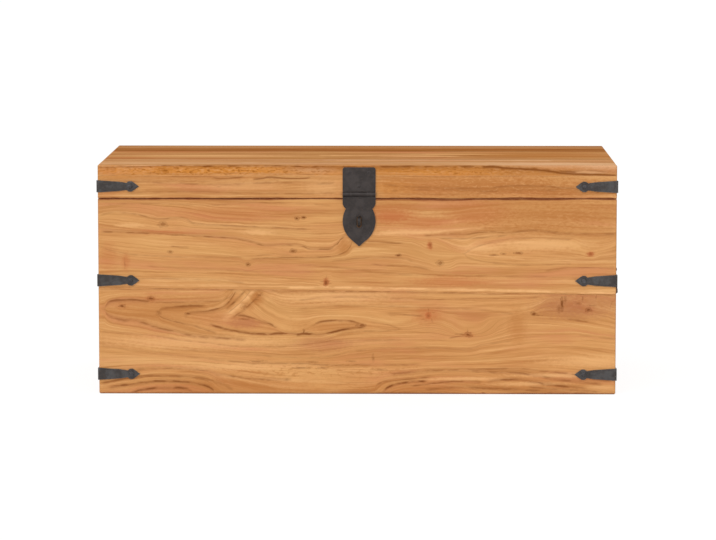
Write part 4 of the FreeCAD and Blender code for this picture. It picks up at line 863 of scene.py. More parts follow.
# on the top boards Across is the distance back plus the height, so that the front edge unfolds below the top
lidFront = {
    "grain": "xTop", "seed": 4.0, "bend": [(-300, 166, 60, 6, 2, 0), (120, 167, 80, 7, -2, 0)],
    "streaks": [
        (1.6, 0.6, -5, ((-450, 304.2), (450, 304.2)), "seam"),
        (2.0, 0.95, -4, ((-340, 175.2), (-300, 174.8), (-250, 174.2), (-180, 174.8), (-100, 173.7), (-47, 173.0),
            (-20, 174.4))),
        (2.1, 0.95, -3, ((24, 174.6), (90, 174.4), (140, 174.2), (215, 174.0), (250, 173.4))),
        (2.4, 0.9, -4, ((215, 173.6), (256, 170.6), (290, 168.6), (325, 166.2), (375, 161.2), (406, 159.6),
            (450, 157.4)), "seam"),
        (1.4, 0.7, -3, ((-448, 172.4), (-424, 172.0), (-412, 174.6), (-388, 173.2), (-340, 174.8))),
        (1.8, 0.6, 4, ((270, 171.4), (310, 168.6), (340, 166.0), (380, 166.4), (450, 163.6))),
        (1.0, 0.4, 2.5, ((-366, 160.6), (-300, 159.6), (-220, 160.8), (-150, 158.8), (-60, 160.6))),
        (2.4, 0.8, -8, ((-130, 173.4), (0, 173.0), (120, 173.6), (215, 172.4), (300, 169.0), (380, 164))),
        (3.0, 0.3, 6, ((-450, 190), (-200, 193), (100, 188), (450, 194))),
        (6.0, 0.42, 12, ((-450, 274), (-300, 280), (-120, 268), (-40, 272))),
        (5.0, 0.3, 12, ((-450, 246), (-200, 240), (100, 250), (450, 244))),
    ],
    "paleStreaks": [
        (9.0, 0.6, 10, ((-450, 206), (-250, 214), (0, 222), (200, 232), (450, 214))),
        (6.0, 0.7, 8, ((-60, 286), (60, 290), (230, 284), (340, 276))),
        (4.0, 0.5, 6, ((-450, 226), (-300, 232), (-160, 228))),
    ],
    "knots": [(-103, 180.5, 2.5, 2.5, 0.6), (57, 186, 3, 2, 0.5), (238, 181, 3, 2, 0.6), (-336, 166, 10, 4, 0.3)],
    "reds": [(340, 170, 60, 3, 0.5), (430, 167, 30, 5, 0.5), (-430, 166, 22, 7, 0.4), (330, 176, 60, 2, 0.6)],
    "golds": [(-250, 166, 200, 10, 0.85), (150, 166, 130, 10, 0.75), (-170, 167, 70, 8, 0.6), (10, 166, 90, 10, 0.55),
        (350, 164, 110, 8, 0.5)],
    "browns": [(-336, 168, 16, 7, 0.95), (-260, 172, 40, 3, 0.8), (-290, 166, 16, 5, 0.6), (-226, 168, 26, 5, 0.7),
        (-170, 165, 20, 4, 0.55), (60, 170, 60, 6, 0.6), (-130, 170, 24, 4, 0.5), (270, 165, 110, 9, 0.55),
        (-40, 172, 100, 4, 0.5)],
    "pales": [(-80, 167, 40, 4, 0.3), (400, 164, 40, 4, 0.4), (340, 200, 120, 24, 0.6), (430, 182, 60, 16, 0.5),
        (-330, 176.5, 60, 2.0, 0.6)],
    "curls": [(-250, 167, 200, 9, 1.0), (190, 167, 140, 8, 0.75)],
    "tones": {"body": shade(204, 150, 100), "light": shade(220, 170, 122), "dark": shade(170, 112, 64),
        "pale": shade(228, 184, 142), "brown": shade(158, 94, 38)},
    "bands": 0.7, "lines": 0.95, "sheen": 0.0, "wear": 0.08,
}
lidMiddle = {
    "grain": "xTop", "seed": 5.0, "bend": [(-100, 380, 160, 30, 8, 0), (220, 440, 140, 26, -8, 0)],
    "streaks": [
        (1.6, 0.7, 8, ((-450, 305.6), (450, 305.6)), "seam"), (1.4, 0.6, -4, ((-450, 484.4), (450, 484.4)), "seam"),
        (3.0, 0.4, 10, ((-450, 322), (-200, 328), (0, 318), (200, 326), (450, 318))),
        (4.0, 0.7, -14, ((144, 392), (160, 396), (200, 394), (222, 391))),
        (3.0, 0.35, 16, ((-450, 420), (-250, 428), (-40, 416), (120, 422))),
        (3.0, 0.35, -10, ((-60, 362), (60, 352), (180, 360), (300, 350))),
        (6.0, 0.4, 12, ((-60, 338), (60, 334), (160, 340))),
    ],
    "paleStreaks": [(9.0, 0.75, 10, ((-70, 388), (60, 384), (180, 378))),
        (6.0, 0.5, 8, ((-450, 372), (-260, 378), (-120, 372)))],
    "reds": [(-330, 470, 120, 16, 0.5), (60, 470, 90, 12, 0.5), (-420, 330, 60, 30, 0.4)],
    "browns": [(330, 400, 150, 60, 0.75), (-180, 312, 260, 10, 0.55), (380, 440, 90, 40, 0.6)],
    "pales": [(-250, 380, 120, 26, 0.4), (150, 420, 90, 10, 0.6), (120, 372, 60, 8, 0.5)],
    # tones darker than the front's: partly the wood's own colour, partly painted shade of the top seen at a grazing
    # angle
    "tones": {"body": shade(196, 140, 86), "light": shade(214, 164, 112), "dark": shade(160, 100, 50)},
    "bands": 0.8, "lines": 0.9, "sheen": 0.0,
}
lidBack = {
    "grain": "xTop", "seed": 6.0, "bend": [(-200, 560, 160, 26, 8, 0), (180, 540, 140, 26, -8, 0)],
    "streaks": [
        (1.4, 0.6, 4, ((-450, 485.6), (450, 485.6)), "seam"),
        (4.0, 0.5, 12, ((-450, 540), (-250, 552), (-60, 538), (140, 546), (450, 536))),
        (4.0, 0.4, -12, ((-450, 590), (-100, 584), (200, 594), (450, 586))),
        (5.0, 0.5, 14, ((-450, 508), (-200, 514), (100, 506), (450, 512))),
        (6.0, 0.45, -14, ((120, 534), (260, 528), (450, 536))),
    ],
    "paleStreaks": [(6.0, 0.6, 10, ((-450, 566), (-200, 572), (60, 564), (450, 570)))],
    "knots": [(-122, 532, 12, 5, 0.5), (60, 560, 9, 4, 0.5)],
    "reds": [(-330, 566, 120, 14, 0.7), (-60, 556, 120, 16, 0.7), (250, 550, 160, 18, 0.7)],
    "browns": [(0, 560, 420, 34, 0.75), (200, 520, 200, 18, 0.5)],
    "pales": [(-250, 588, 280, 30, 0.55), (240, 590, 300, 28, 0.6), (-40, 596, 120, 22, 0.4)],
    # much darker tones: partly the wood's own colour, partly painted shade along the lid's back edge
    "tones": {"body": shade(166, 106, 56), "light": shade(184, 130, 78), "dark": shade(138, 80, 36),
        "red": shade(154, 78, 36), "rose": shade(176, 104, 60), "pale": shade(198, 148, 102)},
    "bands": 0.8, "lines": 0.9, "sheen": 0.0,
}


plainBoard = {
    # what a board has unless its own dictionary says otherwise
    "guides": [], "bend": [], "streaks": [], "paleStreaks": [], "knots": [], "stains": [], "curls": [],
    "reds": [], "browns": [], "mauves": [], "golds": [], "pales": [], "tones": {},
    # how strongly each layer shows
    "bands": 0.6, "lines": 0.85, "fibres": 2.1, "rings": 0.55, "rose": 0.6, "straw": 0.32, "wear": 0.35,
    "sheen": 0.12,
}

woodFinish = {
    "softness": {"reds": 0.75, "browns": 0.75, "mauves": 0.6, "golds": 0.75, "pales": 0.75},
    "patchOnLines": 0.9, "patchBetween": 0.55,  # how much a patch keeps to the dark growth lines
    "curlSoftness": 0.8, "curlLight": 0.35, "knotSoftness": 0.45, "stainSoftness": 0.5,
    "wobble": 1.5, "wobbleWaves": (150, 260),
    "cloudWaves": (4.5, 42), "cloudStraw": (0.5, 0.3), "cloudRose": (0.5, 0.7),
    "breakWaves": (40, 120), "breaks": (0.36, 0.62), "leastBreak": 0.3,
    "endTurn": (0.6, 0.9), "endShare": 0.9, "gloss": 0.46, "endGloss": 0.2, "wearRadius": 2.5,
    "relief": {"strength": 0.35, "depth": 0.4},
    "seedSteps": {"warp": 7.3, "grain": 3.1, "cloud": 11},  # keep one board's layers apart from another's
}
unfolded = ("xTop", "yTop")  # boards whose Across runs on from the top down over the front edge


def spots(along, across, wobble, kind, softness, table, under=0.0):
    for x, z, length, height, strength in table:
        made = place(kind, {
            "Along": along, "Across": across, "Centre Along": x * mm, "Centre Across": z * mm, "Length": length * mm,
            "Height": height * mm, "Softness": softness, "Strength": strength, "Wobble": wobble, "Under": under})
        under = made["Mask"]
    return under


def curveThrough(along, points):
    # a curve node through the points; also its ends and the range that its 0 to 1 stands for
    start, end = points[0][0] * mm, points[-1][0] * mm
    low = min(z for x, z in points) * mm - mm
    high = max(z for x, z in points) * mm + mm
    tree = treeOf(along)
    share = addNode(tree, "ShaderNodeMapRange", clamp=False)
    feedAll(share, {"Value": along, "From Min": start, "From Max": end})
    curve = addNode(tree, "ShaderNodeFloatCurve")
    feed(curve.inputs["Value"], Wire(share.outputs["Result"]))
    line = curve.mapping.curves[0]
    shares = [((x * mm - start) / (end - start), (z * mm - low) / (high - low)) for x, z in points]
    line.points[0].location = shares[0]
    line.points[1].location = shares[-1]
    for spot in shares[1:-1]:
        line.points.new(*spot)
    for point in line.points:
        point.handle_type = "AUTO_CLAMPED"
    curve.mapping.extend = "HORIZONTAL"
    curve.mapping.update()
    return Wire(curve.outputs["Value"]), start, end, low, high


def guidedField(along, across, guides):
    # a field that keeps each guide's own value all along the guide
    heights = []
    for level, points in guides:
        curve, start, end, low, high = curveThrough(along, points)
        heights.append((level * mm, calc("MULTIPLY_ADD", curve, high - low, low)))
    field = calc("MINIMUM", across - heights[0][1], 0) + heights[0][0]
    for (levelLow, lower), (levelHigh, upper) in zip(heights, heights[1:]):
        field = place(figureStep, {
            "Across": across, "Lower": lower, "Upper": upper, "Rise": levelHigh - levelLow, "Field": field})["Field"]
    return field + calc("MAXIMUM", across - heights[-1][1], 0)


streakEnds = {"fade": 0.012, "fadeShare": 0.25, "spread": 1.6}


def streakMask(along, across, broken, streaks, under=0.0):
    for width, strength, spread, points, *kind in streaks:
        curve, start, end, low, high = curveThrough(along, points)
        fade = min(streakEnds["fade"], (end - start) * streakEnds["fadeShare"])
        under = place(grainStreak, {
            "Along": along, "Across": across, "Path": curve, "Start": start - fade / 2, "End": end + fade / 2,
            "Low": low, "High": high, "Width": width * mm, "Spread": spread * streakEnds["spread"] * mm, "Fade": fade,
            "Strength": strength, "Break": 1.0 if kind else broken, "Under": under})["Mask"]
    return under


def growthField(board, along, across):
    # the height over the board that its growth lines keep
    field = guidedField(along, across, board["guides"]) if board["guides"] else across
    for x, z, length, height, lift, part in board["bend"]:
        field = place(figureBump, {
            "Along": along, "Across": across, "Field": field, "Centre Along": x * mm, "Centre Across": z * mm,
            "Length": length * mm, "Height": height * mm, "Lift": lift * mm, "Part": part * mm})["Field"]
    return field


def figureColor(board, tones, color, lines, along, across, field, wobble):
    # patches, curl, pale and dark streaks, knots, painted shade at the lid's parting and painted shade behind the
    # hasp, over the plain grain
    look = woodFinish
    alongWaves, acrossWaves = look["cloudWaves"]
    alongCloud = calc("MULTIPLY_ADD", along, alongWaves, board["seed"] * look["seedSteps"]["cloud"])
    cloud = noise((alongCloud, field * acrossWaves, 0.0), 3, 0.6)
    color = mixColor(smoothStep(cloud, *look["cloudRose"], 0, board["rose"]), color, tones["rose"])
    color = mixColor(smoothStep(cloud, *look["cloudStraw"], 0, board["straw"]), color, tones["straw"])
    for patches, softness in look["softness"].items():
        if board[patches]:
            mask = spots(along, across, wobble, softSpot, softness, board[patches])
            mask = mask * calc("MULTIPLY_ADD", lines, look["patchOnLines"], look["patchBetween"])
            color = mixColor(mask, color, tones[patches[:-1]])
    if board["curls"]:
        curl = spots(along, across, wobble, softSpot, look["curlSoftness"], board["curls"])
        fleck = place(curlFleck, {"Along": along, "Across": field, "Seed": board["seed"], "Mask": curl})
        color = mixColor(fleck["Dark"], color, tones["brown"])
        color = mixColor(fleck["Light"] * look["curlLight"], color, tones["light"])
    alongWaves, acrossWaves = look["breakWaves"]
    broken = noise((along * alongWaves, across * acrossWaves, 0.0), 2)
    broken = smoothStep(broken, *look["breaks"], look["leastBreak"], 1)
    if board["paleStreaks"]:
        color = mixColor(streakMask(along, across, broken, board["paleStreaks"]), color, tones["pale"])
    # the parting streaks paint the shade in the gap between lid and box, in their own darker tone
    partingShadeStreaks = [streak for streak in board["streaks"] if "parting" in streak]
    others = [streak for streak in board["streaks"] if "parting" not in streak]
    dark = streakMask(along, across, broken, others)
    dark = spots(along, across, wobble, pinKnot, look["knotSoftness"], board["knots"], dark)
    color = mixColor(dark, color, tones["line"])
    if partingShadeStreaks:
        color = mixColor(streakMask(along, across, broken, partingShadeStreaks), color, tones["parting"])
    # painted shade where the hasp covers the wood
    if board["stains"]:
        stain = spots(along, across, 0.0, softSpot, look["stainSoftness"], board["stains"])
        color = mixColor(stain, color, tones["paintedHaspShade"])
    return color


def woodMaterial(name, ownBoard):
    board = {**plainBoard, **ownBoard}
    tones = {**woodTones, **board["tones"]}
    look, seed, order = woodFinish, board["seed"], axisOrder[board["grain"]]
    material, tree = newMaterial(name)
    coords = addNode(tree, "ShaderNodeTexCoord")
    here = Wire(coords.outputs["Object"])
    parts = split(here)
    along0, across0, depth = (parts[axis] for axis in order)
    if board["grain"] in unfolded:
        across0 = across0 + depth
    warped = place(grainWarp, {"Along": along0, "Across": across0, "Seed": seed * look["seedSteps"]["warp"]})
    along, across = warped["Along"], warped["Across"]
    field = growthField(board, along, across)
    alongWaves, acrossWaves = look["wobbleWaves"]
    wobble = (noise((along0 * alongWaves, across0 * acrossWaves, seed), 2, 0.6) - 0.5) * look["wobble"]
    grain = place(boardGrain, {
        "Along": along, "Field": field, "Depth": depth, "Seed": seed * look["seedSteps"]["grain"],
        "Light": tones["light"], "Body": tones["body"], "Dark": tones["dark"], "Band Share": board["bands"],
        "Line Share": board["lines"], "Fibre Share": board["fibres"], "Ring Share": board["rings"]})
    color = figureColor(board, tones, grain["Color"], grain["Lines"], along, across, field, wobble)
    facing = split(Wire(coords.outputs["Normal"]))
    endOn = smoothStep(calc("ABSOLUTE", facing[order[0]]), *look["endTurn"])
    ends = place(endGrain, {
        "Across": across0, "Depth": depth, "Seed": seed, "Light": tones["endLight"], "Dark": tones["endDark"]})
    color = mixColor(endOn * look["endShare"], color, ends["Color"])
    worn = place(edgeWear, {"Place": here, "Radius": look["wearRadius"] * mm, "Amount": board["wear"]})["Mask"]
    color = mixColor(worn, color, tones["pale"])
    roughness = grain["Gloss"] + calc("MULTIPLY_ADD", endOn, look["endGloss"], look["gloss"])
    addCoat(tree, color, roughness, grain["Height"], look["relief"], {"Specular IOR Level": board["sheen"]})
    return material


madeUpFigure = {
    # knots, waves and streaks of the boards that the photograph doesn't show
    "seedStep": 1.7, "knots": 3, "knotMargin": 20, "knotShare": 0.15, "knotSize": (2.0, 5.5),
    "knotStrength": (0.5, 0.85),
    # by the knot's size: its length, its reddish rim and how far and how high the lines part round it
    "knotLength": 1.4, "rim": (5, 2.6), "rimStrength": 0.35, "parting": (11, 3.2, 1.3),
    "waves": 4, "waveLength": (90, 200), "waveHeight": (22, 40), "waveLift": (-17, 17),
    "patchLength": (50, 120), "patchHeight": (8, 18), "patchStrength": 0.5,
    "streaks": 7, "streakLeast": 60, "streakLength": (90, 320), "streakSway": (-3, 3), "streakPoints": 5,
    "streakWidth": (1.2, 1.8), "streakStrength": (0.25, 0.5), "streakSides": (-4, 4),
    "seam": (1.0, 0.6), "seamInset": 0.3, "seamSide": 1.6,
}


def scatteredFigure(grain, seed, low, high):
    # low and high are the board's corners
    chance = random.Random(seed)
    made = madeUpFigure

    def between(ends):
        return chance.uniform(*ends)

    order = axisOrder[grain]
    lift = high[2] / mm if grain in unfolded else 0
    a0, a1 = low[order[0]] / mm, high[order[0]] / mm
    c0, c1 = low[order[1]] / mm + lift, high[order[1]] / mm + lift
    kinds = ("bend", "knots", "reds", "pales", "browns", "streaks")
    board = {"grain": grain, "seed": seed * made["seedStep"], **{kind: [] for kind in kinds}}
    inset = made["knotShare"] * (c1 - c0)
    for i in range(made["knots"]):
        a = between((a0 + made["knotMargin"], a1 - made["knotMargin"]))
        c = between((c0 + inset, c1 - inset))
        size = between(made["knotSize"])
        board["knots"].append((a, c, size * made["knotLength"], size, between(made["knotStrength"])))
        board["reds"].append((a, c, *(size * times for times in made["rim"]), made["rimStrength"]))
        wide, tall, part = (size * times for times in made["parting"])
        board["bend"].append((a, c, wide, tall, 0, part))
    for i in range(made["waves"]):
        a, c = between((a0, a1)), between((c0, c1))
        length, height, rise = between(made["waveLength"]), between(made["waveHeight"]), between(made["waveLift"])
        board["bend"].append((a, c, length, height, rise, 0))
        a, c = between((a0, a1)), between((c0, c1))
        patch = (a, c, between(made["patchLength"]), between(made["patchHeight"]), made["patchStrength"])
        board[("reds", "pales", "browns")[i % 3]].append(patch)
    steps = made["streakPoints"] - 1
    for i in range(made["streaks"]):
        a, c = between((a0, a1 - made["streakLeast"])), between((c0, c1))
        reach = min(between(made["streakLength"]), a1 - a)
        sway = [between(made["streakSway"]) for k in range(steps + 1)]
        points = tuple((a + reach * k / steps, c + sway[k]) for k in range(steps + 1))
        width, strength = between(made["streakWidth"]), between(made["streakStrength"])
        board["streaks"].append((width, strength, chance.choice(made["streakSides"]), points))
    # dark lines along both long edges of each board: its joints, and on edges at the lid's parting, painted shade in
    # that gap
    for level, side in ((c0 + made["seamInset"], made["seamSide"]), (c1 - made["seamInset"], -made["seamSide"])):
        board["streaks"].append((*made["seam"], side, ((a0, level), (a1, level)), "seam"))
    return board


boardGrains = {
    "front_lower_board": "x", "front_upper_board": "x", "back_lower_board": "x", "back_upper_board": "x",
    "left_lower_board": "y", "left_upper_board": "y", "right_lower_board": "y", "right_upper_board": "y",
    "bottom_front_board": "xTop", "bottom_middle_board": "xTop", "bottom_back_board": "xTop",
    "bottom_left_batten": "yTop", "bottom_middle_batten": "yTop", "bottom_right_batten": "yTop",
    "lid_front_board": "xTop", "lid_middle_board": "xTop", "lid_back_board": "xTop",
    "lid_front_rail": "x", "lid_back_rail": "x", "lid_left_rail": "y", "lid_right_rail": "y",
    "lid_left_batten": "yTop", "lid_right_batten": "yTop",
}
drawnBoards = {
    "front_upper_board": frontUpper, "front_lower_board": frontLower, "lid_front_rail": lidRail,
    "lid_front_board": lidFront, "lid_middle_board": lidMiddle, "lid_back_board": lidBack,
}
softEdges = {
    # width of the rounding and its steps
    "board": (0.5, 2), "strap": (0.5, 2), "hasp": (0.4, 2), "rod": (0.25, 1), "strapNail": (0.25, 2),
    "plateNail": (0.15, 2), "eye": (0.25, 2),
}
bevelAngle = 35  # degrees; gentler corners stay as they are
firstSeed = 3


def softenEdges(piece, kind):
    width, segments = softEdges[kind]
    bevel = piece.modifiers.new("edge", "BEVEL")
    bevel.width = width * mm
    bevel.segments = segments
    bevel.limit_method = "ANGLE"
    bevel.angle_limit = math.radians(bevelAngle)
    bevel.harden_normals = True
    bevel.use_clamp_overlap = True


def dress(name, material, edge=None):
    nodes[name].data.materials.clear()
    nodes[name].data.materials.append(material)
    if edge:
        softenEdges(nodes[name], edge)


for index, (name, grain) in enumerate(boardGrains.items()):
    board = drawnBoards.get(name) or scatteredFigure(grain, index + firstSeed, *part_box(name))
    dress(name, woodMaterial("wood_" + name, board), "board")
print("boards finished")


# black iron

ironTones = {
    "strap": {
        "dark": shade(50, 45, 43), "bloom": shade(70, 68, 68), "brown": shade(76, 64, 54),
        "worn": shade(112, 114, 118)},
    "hasp": {
        "dark": shade(40, 33, 31), "bloom": shade(55, 48, 46), "brown": shade(66, 54, 46), "worn": shade(92, 90, 92),
        # the darkest hasp tone is painted shade round the staple
        "stapleShade": shade(24, 20, 19)},
    # the nails' bloom and worn tones are lighter than the straps', so their worn rims also paint a highlight ring on
    # each head
    "nail": {
        "dark": shade(54, 50, 50), "bloom": shade(88, 88, 92), "brown": shade(66, 56, 50),
        "worn": shade(136, 140, 146)},
}
ironFinish = {
    "wearRadius": 1.2, "wear": 0.6, "stapleShadeSoftness": 0.8, "relief": {"strength": 0.5, "depth": 0.8},
    "fixed": {"Metallic": 0.35, "Specular IOR Level": 0.4},
}
# painted shade round the staple and to its right and below, where its shadow falls: (x, z, half length, half height,
# strength)
stapleShadeSpots = [(3.5, 302, 10, 8, 0.5), (8.5, 298, 6, 4, 0.4)]


def ironMaterial(name, tones, seed, hammer, stapleShade=()):
    material, tree = newMaterial(name)
    here = Wire(addNode(tree, "ShaderNodeTexCoord").outputs["Object"])
    iron = place(forgedIron, {
        "Place": here, "Seed": seed, "Dark": tones["dark"], "Bloom": tones["bloom"], "Brown": tones["brown"],
        "Hammer": hammer})
    wear = {"Place": here, "Radius": ironFinish["wearRadius"] * mm, "Amount": ironFinish["wear"]}
    color = mixColor(place(edgeWear, wear)["Mask"], iron["Color"], tones["worn"])
    # painted shade round the staple
    if stapleShade:
        x, y, z = split(here)
        color = mixColor(spots(x, z, 0.0, softSpot, ironFinish["stapleShadeSoftness"], stapleShade), color, tones["stapleShade"])
    addCoat(tree, color, iron["Roughness"], iron["Height"], ironFinish["relief"], ironFinish["fixed"])
    return material


strapIron = ironMaterial("strapIron", ironTones["strap"], seed=0.0, hammer=1.0)
haspIron = ironMaterial("haspIron", ironTones["hasp"], seed=3.0, hammer=0.7, stapleShade=stapleShadeSpots)
rodIron = ironMaterial("rodIron", ironTones["hasp"], seed=6.0, hammer=0.4)
# nail heads: wear on the rims, and a painted highlight
nailIronPaintedGlint = ironMaterial("nailIronPaintedGlint", ironTones["nail"], seed=9.0, hammer=0.3)

for name in nodes:
    if name in boardGrains:
        continue
    if "nails" in name:
        dress(name, nailIronPaintedGlint)
    elif "strap" in name:
        dress(name, strapIron, "strap")
    elif name.startswith("hasp"):
        dress(name, haspIron, "hasp")
    else:
        dress(name, rodIron, "rod")
print("ironwork finished")


# hand-forged pieces in place of plain CAD nodes

frontLow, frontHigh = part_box("front_lower_board")
halfWidth, halfDepth = round(frontHigh[0] / mm), round(-frontLow[1] / mm)
ironThick = 2.0  # straps and hasp plate stand this far off the wood
wallThick = 18


def stackRings(bm, rings, closed=False):
    # skins rings of as many corners each; capped at both ends, or joined last to first
    made = [[bm.verts.new(point) for point in ring] for ring in rings]
    count = len(made[0])
    pairs = list(zip(made, made[1:])) + ([(made[-1], made[0])] if closed else [])
    for lower, upper in pairs:
        for k in range(count):
            bm.faces.new((lower[k], lower[(k + 1) % count], upper[(k + 1) % count], upper[k]))
    if not closed:
        bm.faces.new(made[0][::-1])
        bm.faces.new(made[-1])


def sweepBar(bm, path, radii, sides, up):
    # a bar along the path, one ring of corners a point
    rings = []
    normal = Vector(up)
    turns = [2 * math.pi * k / sides for k in range(sides)]
    for i, point in enumerate(path):
        heading = (path[min(i + 1, len(path) - 1)] - path[max(i - 1, 0)]).normalized()
        normal = (normal - heading * normal.dot(heading)).normalized()
        side = heading.cross(normal)
        rings.append([point + (normal * math.cos(turn) + side * math.sin(turn)) * radii[i] for turn in turns])
    stackRings(bm, rings)


def roundedPath(points, radii, steps):
    # the same line with its corners turned into arcs
    path = [points[0]]
    for before, corner, after, radius in zip(points, points[1:], points[2:], radii):
        back, ahead = (before - corner).normalized(), (after - corner).normalized()
        half = back.angle(ahead) / 2
        middle = corner + (back + ahead).normalized() * (radius / math.sin(half))
        first = corner + back * (radius / math.tan(half)) - middle
        last = corner + ahead * (radius / math.tan(half)) - middle
        turn = first.angle(last)
        for i in range(steps + 1):
            share = i / steps
            reach = first * math.sin(turn * (1 - share)) + last * math.sin(turn * share)
            path.append(middle + reach / math.sin(turn))
    return path + [points[-1]]


def evenPath(path, spacing):
    even = [path[0]]
    for before, here in zip(path, path[1:]):
        count = max(1, round((here - before).length / spacing))
        even += [before.lerp(here, (i + 1) / count) for i in range(count)]
    return even


def planeFrame(outward):
    # two directions across a face that looks outward
    outward = Vector(outward)
    up = Vector((0, 0, 1))
    return outward, up.cross(outward).normalized(), up


def addPiece(name, bm, body, replaced, material, smooth=False, edge=None):
    bmesh.ops.recalc_face_normals(bm, faces=bm.faces)
    mesh = bpy.data.meshes.new(name)
    bm.to_mesh(mesh)
    bm.free()
    for face in mesh.polygons:
        face.use_smooth = smooth
    piece = bpy.data.objects.new(name, mesh)
    scene.collection.objects.link(piece)
    mesh.materials.append(material)
    if edge:
        softenEdges(piece, edge)
    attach(piece, body)
    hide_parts(*replaced)


nailBlows = {"lift": (-0.07, 0.05), "tilt": (-0.12, 0.12), "wholeRim": 0.5, "shankTop": 0.2, "turnShare": 0.1}
strapNail = {
    "radius": 4.5, "height": 2.4, "sides": 10, "shank": 1.3, "length": 11,
    "rings": ((1.0, 0.0), (1.02, 0.3), (0.78, 0.74), (0.4, 1.0)),  # share of the radius, share of the height
    "onFront": 393.87, "onSide": 168.87,  # out from the middle of the chest
}
plateNail = {
    "radius": 3.1, "height": 0.9, "sides": 9, "shank": 1.3, "length": 11,
    "rings": ((1.0, 0.0), (1.0, 0.35), (0.7, 0.9), (0.35, 1.0)),
    "sites": ((-13.5, 387.5), (20.5, 387.5), (3.5, 364)), "seed": 21,
}


def hammeredHead(bm, centre, outward, nail, chance):
    # a rose head: an uneven rim and crown struck flat by a few blows, over a square shank
    out, across, up = planeFrame(outward)
    radius, height, half = nail["radius"] * mm, nail["height"] * mm, nail["shank"] * mm
    sides = nail["sides"]
    start = chance.uniform(0, 6) * nailBlows["turnShare"]
    uneven = [1 + chance.uniform(*nailBlows["lift"]) for k in range(sides)]
    tiltAcross, tiltUp = chance.uniform(*nailBlows["tilt"]), chance.uniform(*nailBlows["tilt"])

    def corner(turn, reach, rise):
        return centre + (across * math.cos(turn) + up * math.sin(turn)) * reach + out * rise

    turns = [2 * math.pi * k / sides for k in range(sides)]
    rings = []
    for depth in (nail["length"] * mm, nailBlows["shankTop"] * mm):
        rings.append([corner(t, half / max(abs(math.cos(t)), abs(math.sin(t))), -depth) for t in turns])
    for share, rise in nail["rings"]:
        ring = []
        for k, turn in enumerate(turns):
            turn += start
            reach = radius * share * (uneven[k] if share > nailBlows["wholeRim"] else 1)
            lean = 1 + tiltAcross * math.cos(turn) + tiltUp * math.sin(turn)
            ring.append(corner(turn, reach, height * rise * min(1.0, lean)))
        rings.append(ring)
    stackRings(bm, rings)


def addStrapNails(name, heights, body, replaced, seed):
    chance = random.Random(seed)
    bm = bmesh.new()
    for z in heights:
        for side in (-1, 1):
            for end in (-1, 1):
                onFront = Vector((side * strapNail["onFront"], end * (halfDepth + ironThick), z)) * mm
                hammeredHead(bm, onFront, (0, end, 0), strapNail, chance)
                onSide = Vector((side * (halfWidth + ironThick), end * strapNail["onSide"], z)) * mm
                hammeredHead(bm, onSide, (side, 0, 0), strapNail, chance)
    addPiece(name, bm, body, [replaced], nailIronPaintedGlint, edge="strapNail")


def addPlateNails():
    chance = random.Random(plateNail["seed"])
    bm = bmesh.new()
    for x, z in plateNail["sites"]:
        hammeredHead(bm, Vector((x, -halfDepth - ironThick, z)) * mm, (0, -1, 0), plateNail, chance)
    addPiece("haspPlateNailHeads", bm, "lid", ["hasp_plate_nails"], rodIron, edge="plateNail")


addStrapNails("boxStrapNailHeads", (35, 199), "box", "box_strap_nails", seed=11)
addStrapNails("lidStrapNailHeads", (363,), "lid", "lid_strap_nails", seed=12)
addPlateNails()

handle = {
    "height": 200, "stand": 6, "pivotEnd": 55, "pivotInner": 46.8, "armSide": 41.9, "neck": 189, "low": 158,
    "lowSide": 50.9, "lean": 11, "bends": (4.5, 18, 11), "bendSteps": 8, "spacing": 2.5, "sides": 16,
    "pivotRadius": 3.0, "barRadius": 3.4, "gripRadius": 4.6, "gripHalf": 30, "swellShape": 0.8,
    "hammering": ((0.012, 1.7, 0), (0.01, 0.61, 2)),  # share of the radius, waves along the bar, start
}


def onEnd(side, stand, y, z):
    # a point that stands off the left or the right end of the chest
    return Vector((side * (halfWidth + stand), y, z)) * mm


def barRadius(point, i):
    h = handle
    y, z = abs(point.y) / mm, point.z / mm
    if z > h["height"] - 0.5 and y > h["pivotInner"]:
        return h["pivotRadius"] * mm
    swell = max(0.0, 1 - y / h["gripHalf"]) if z < h["low"] + 1 else 0.0
    swell = (swell * swell * (3 - 2 * swell)) ** h["swellShape"]
    radius = h["barRadius"] + (h["gripRadius"] - h["barRadius"]) * swell
    radius *= 1 + sum(share * math.sin(i * waves + start) for share, waves, start in h["hammering"])
    return min(radius, h["gripRadius"]) * mm


def addBail(side, name, body, replaced):
    h = handle
    half = (
        (h["stand"], h["pivotEnd"], h["height"]), (h["stand"], h["armSide"], h["height"]),
        (h["stand"], h["armSide"], h["neck"]), (h["lean"], h["lowSide"], h["low"]), (h["lean"], 0, h["low"]))
    oneSide = roundedPath([onEnd(side, *p) for p in half], [bend * mm for bend in h["bends"]], h["bendSteps"])
    oneSide = evenPath(oneSide, h["spacing"] * mm)
    path = oneSide + [Vector((p.x, -p.y, p.z)) for p in oneSide[-2::-1]]
    bm = bmesh.new()
    sweepBar(bm, path, [barRadius(point, i) for i, point in enumerate(path)], h["sides"], (1, 0, 0))
    addPiece(name, bm, body, [replaced], rodIron, smooth=True)


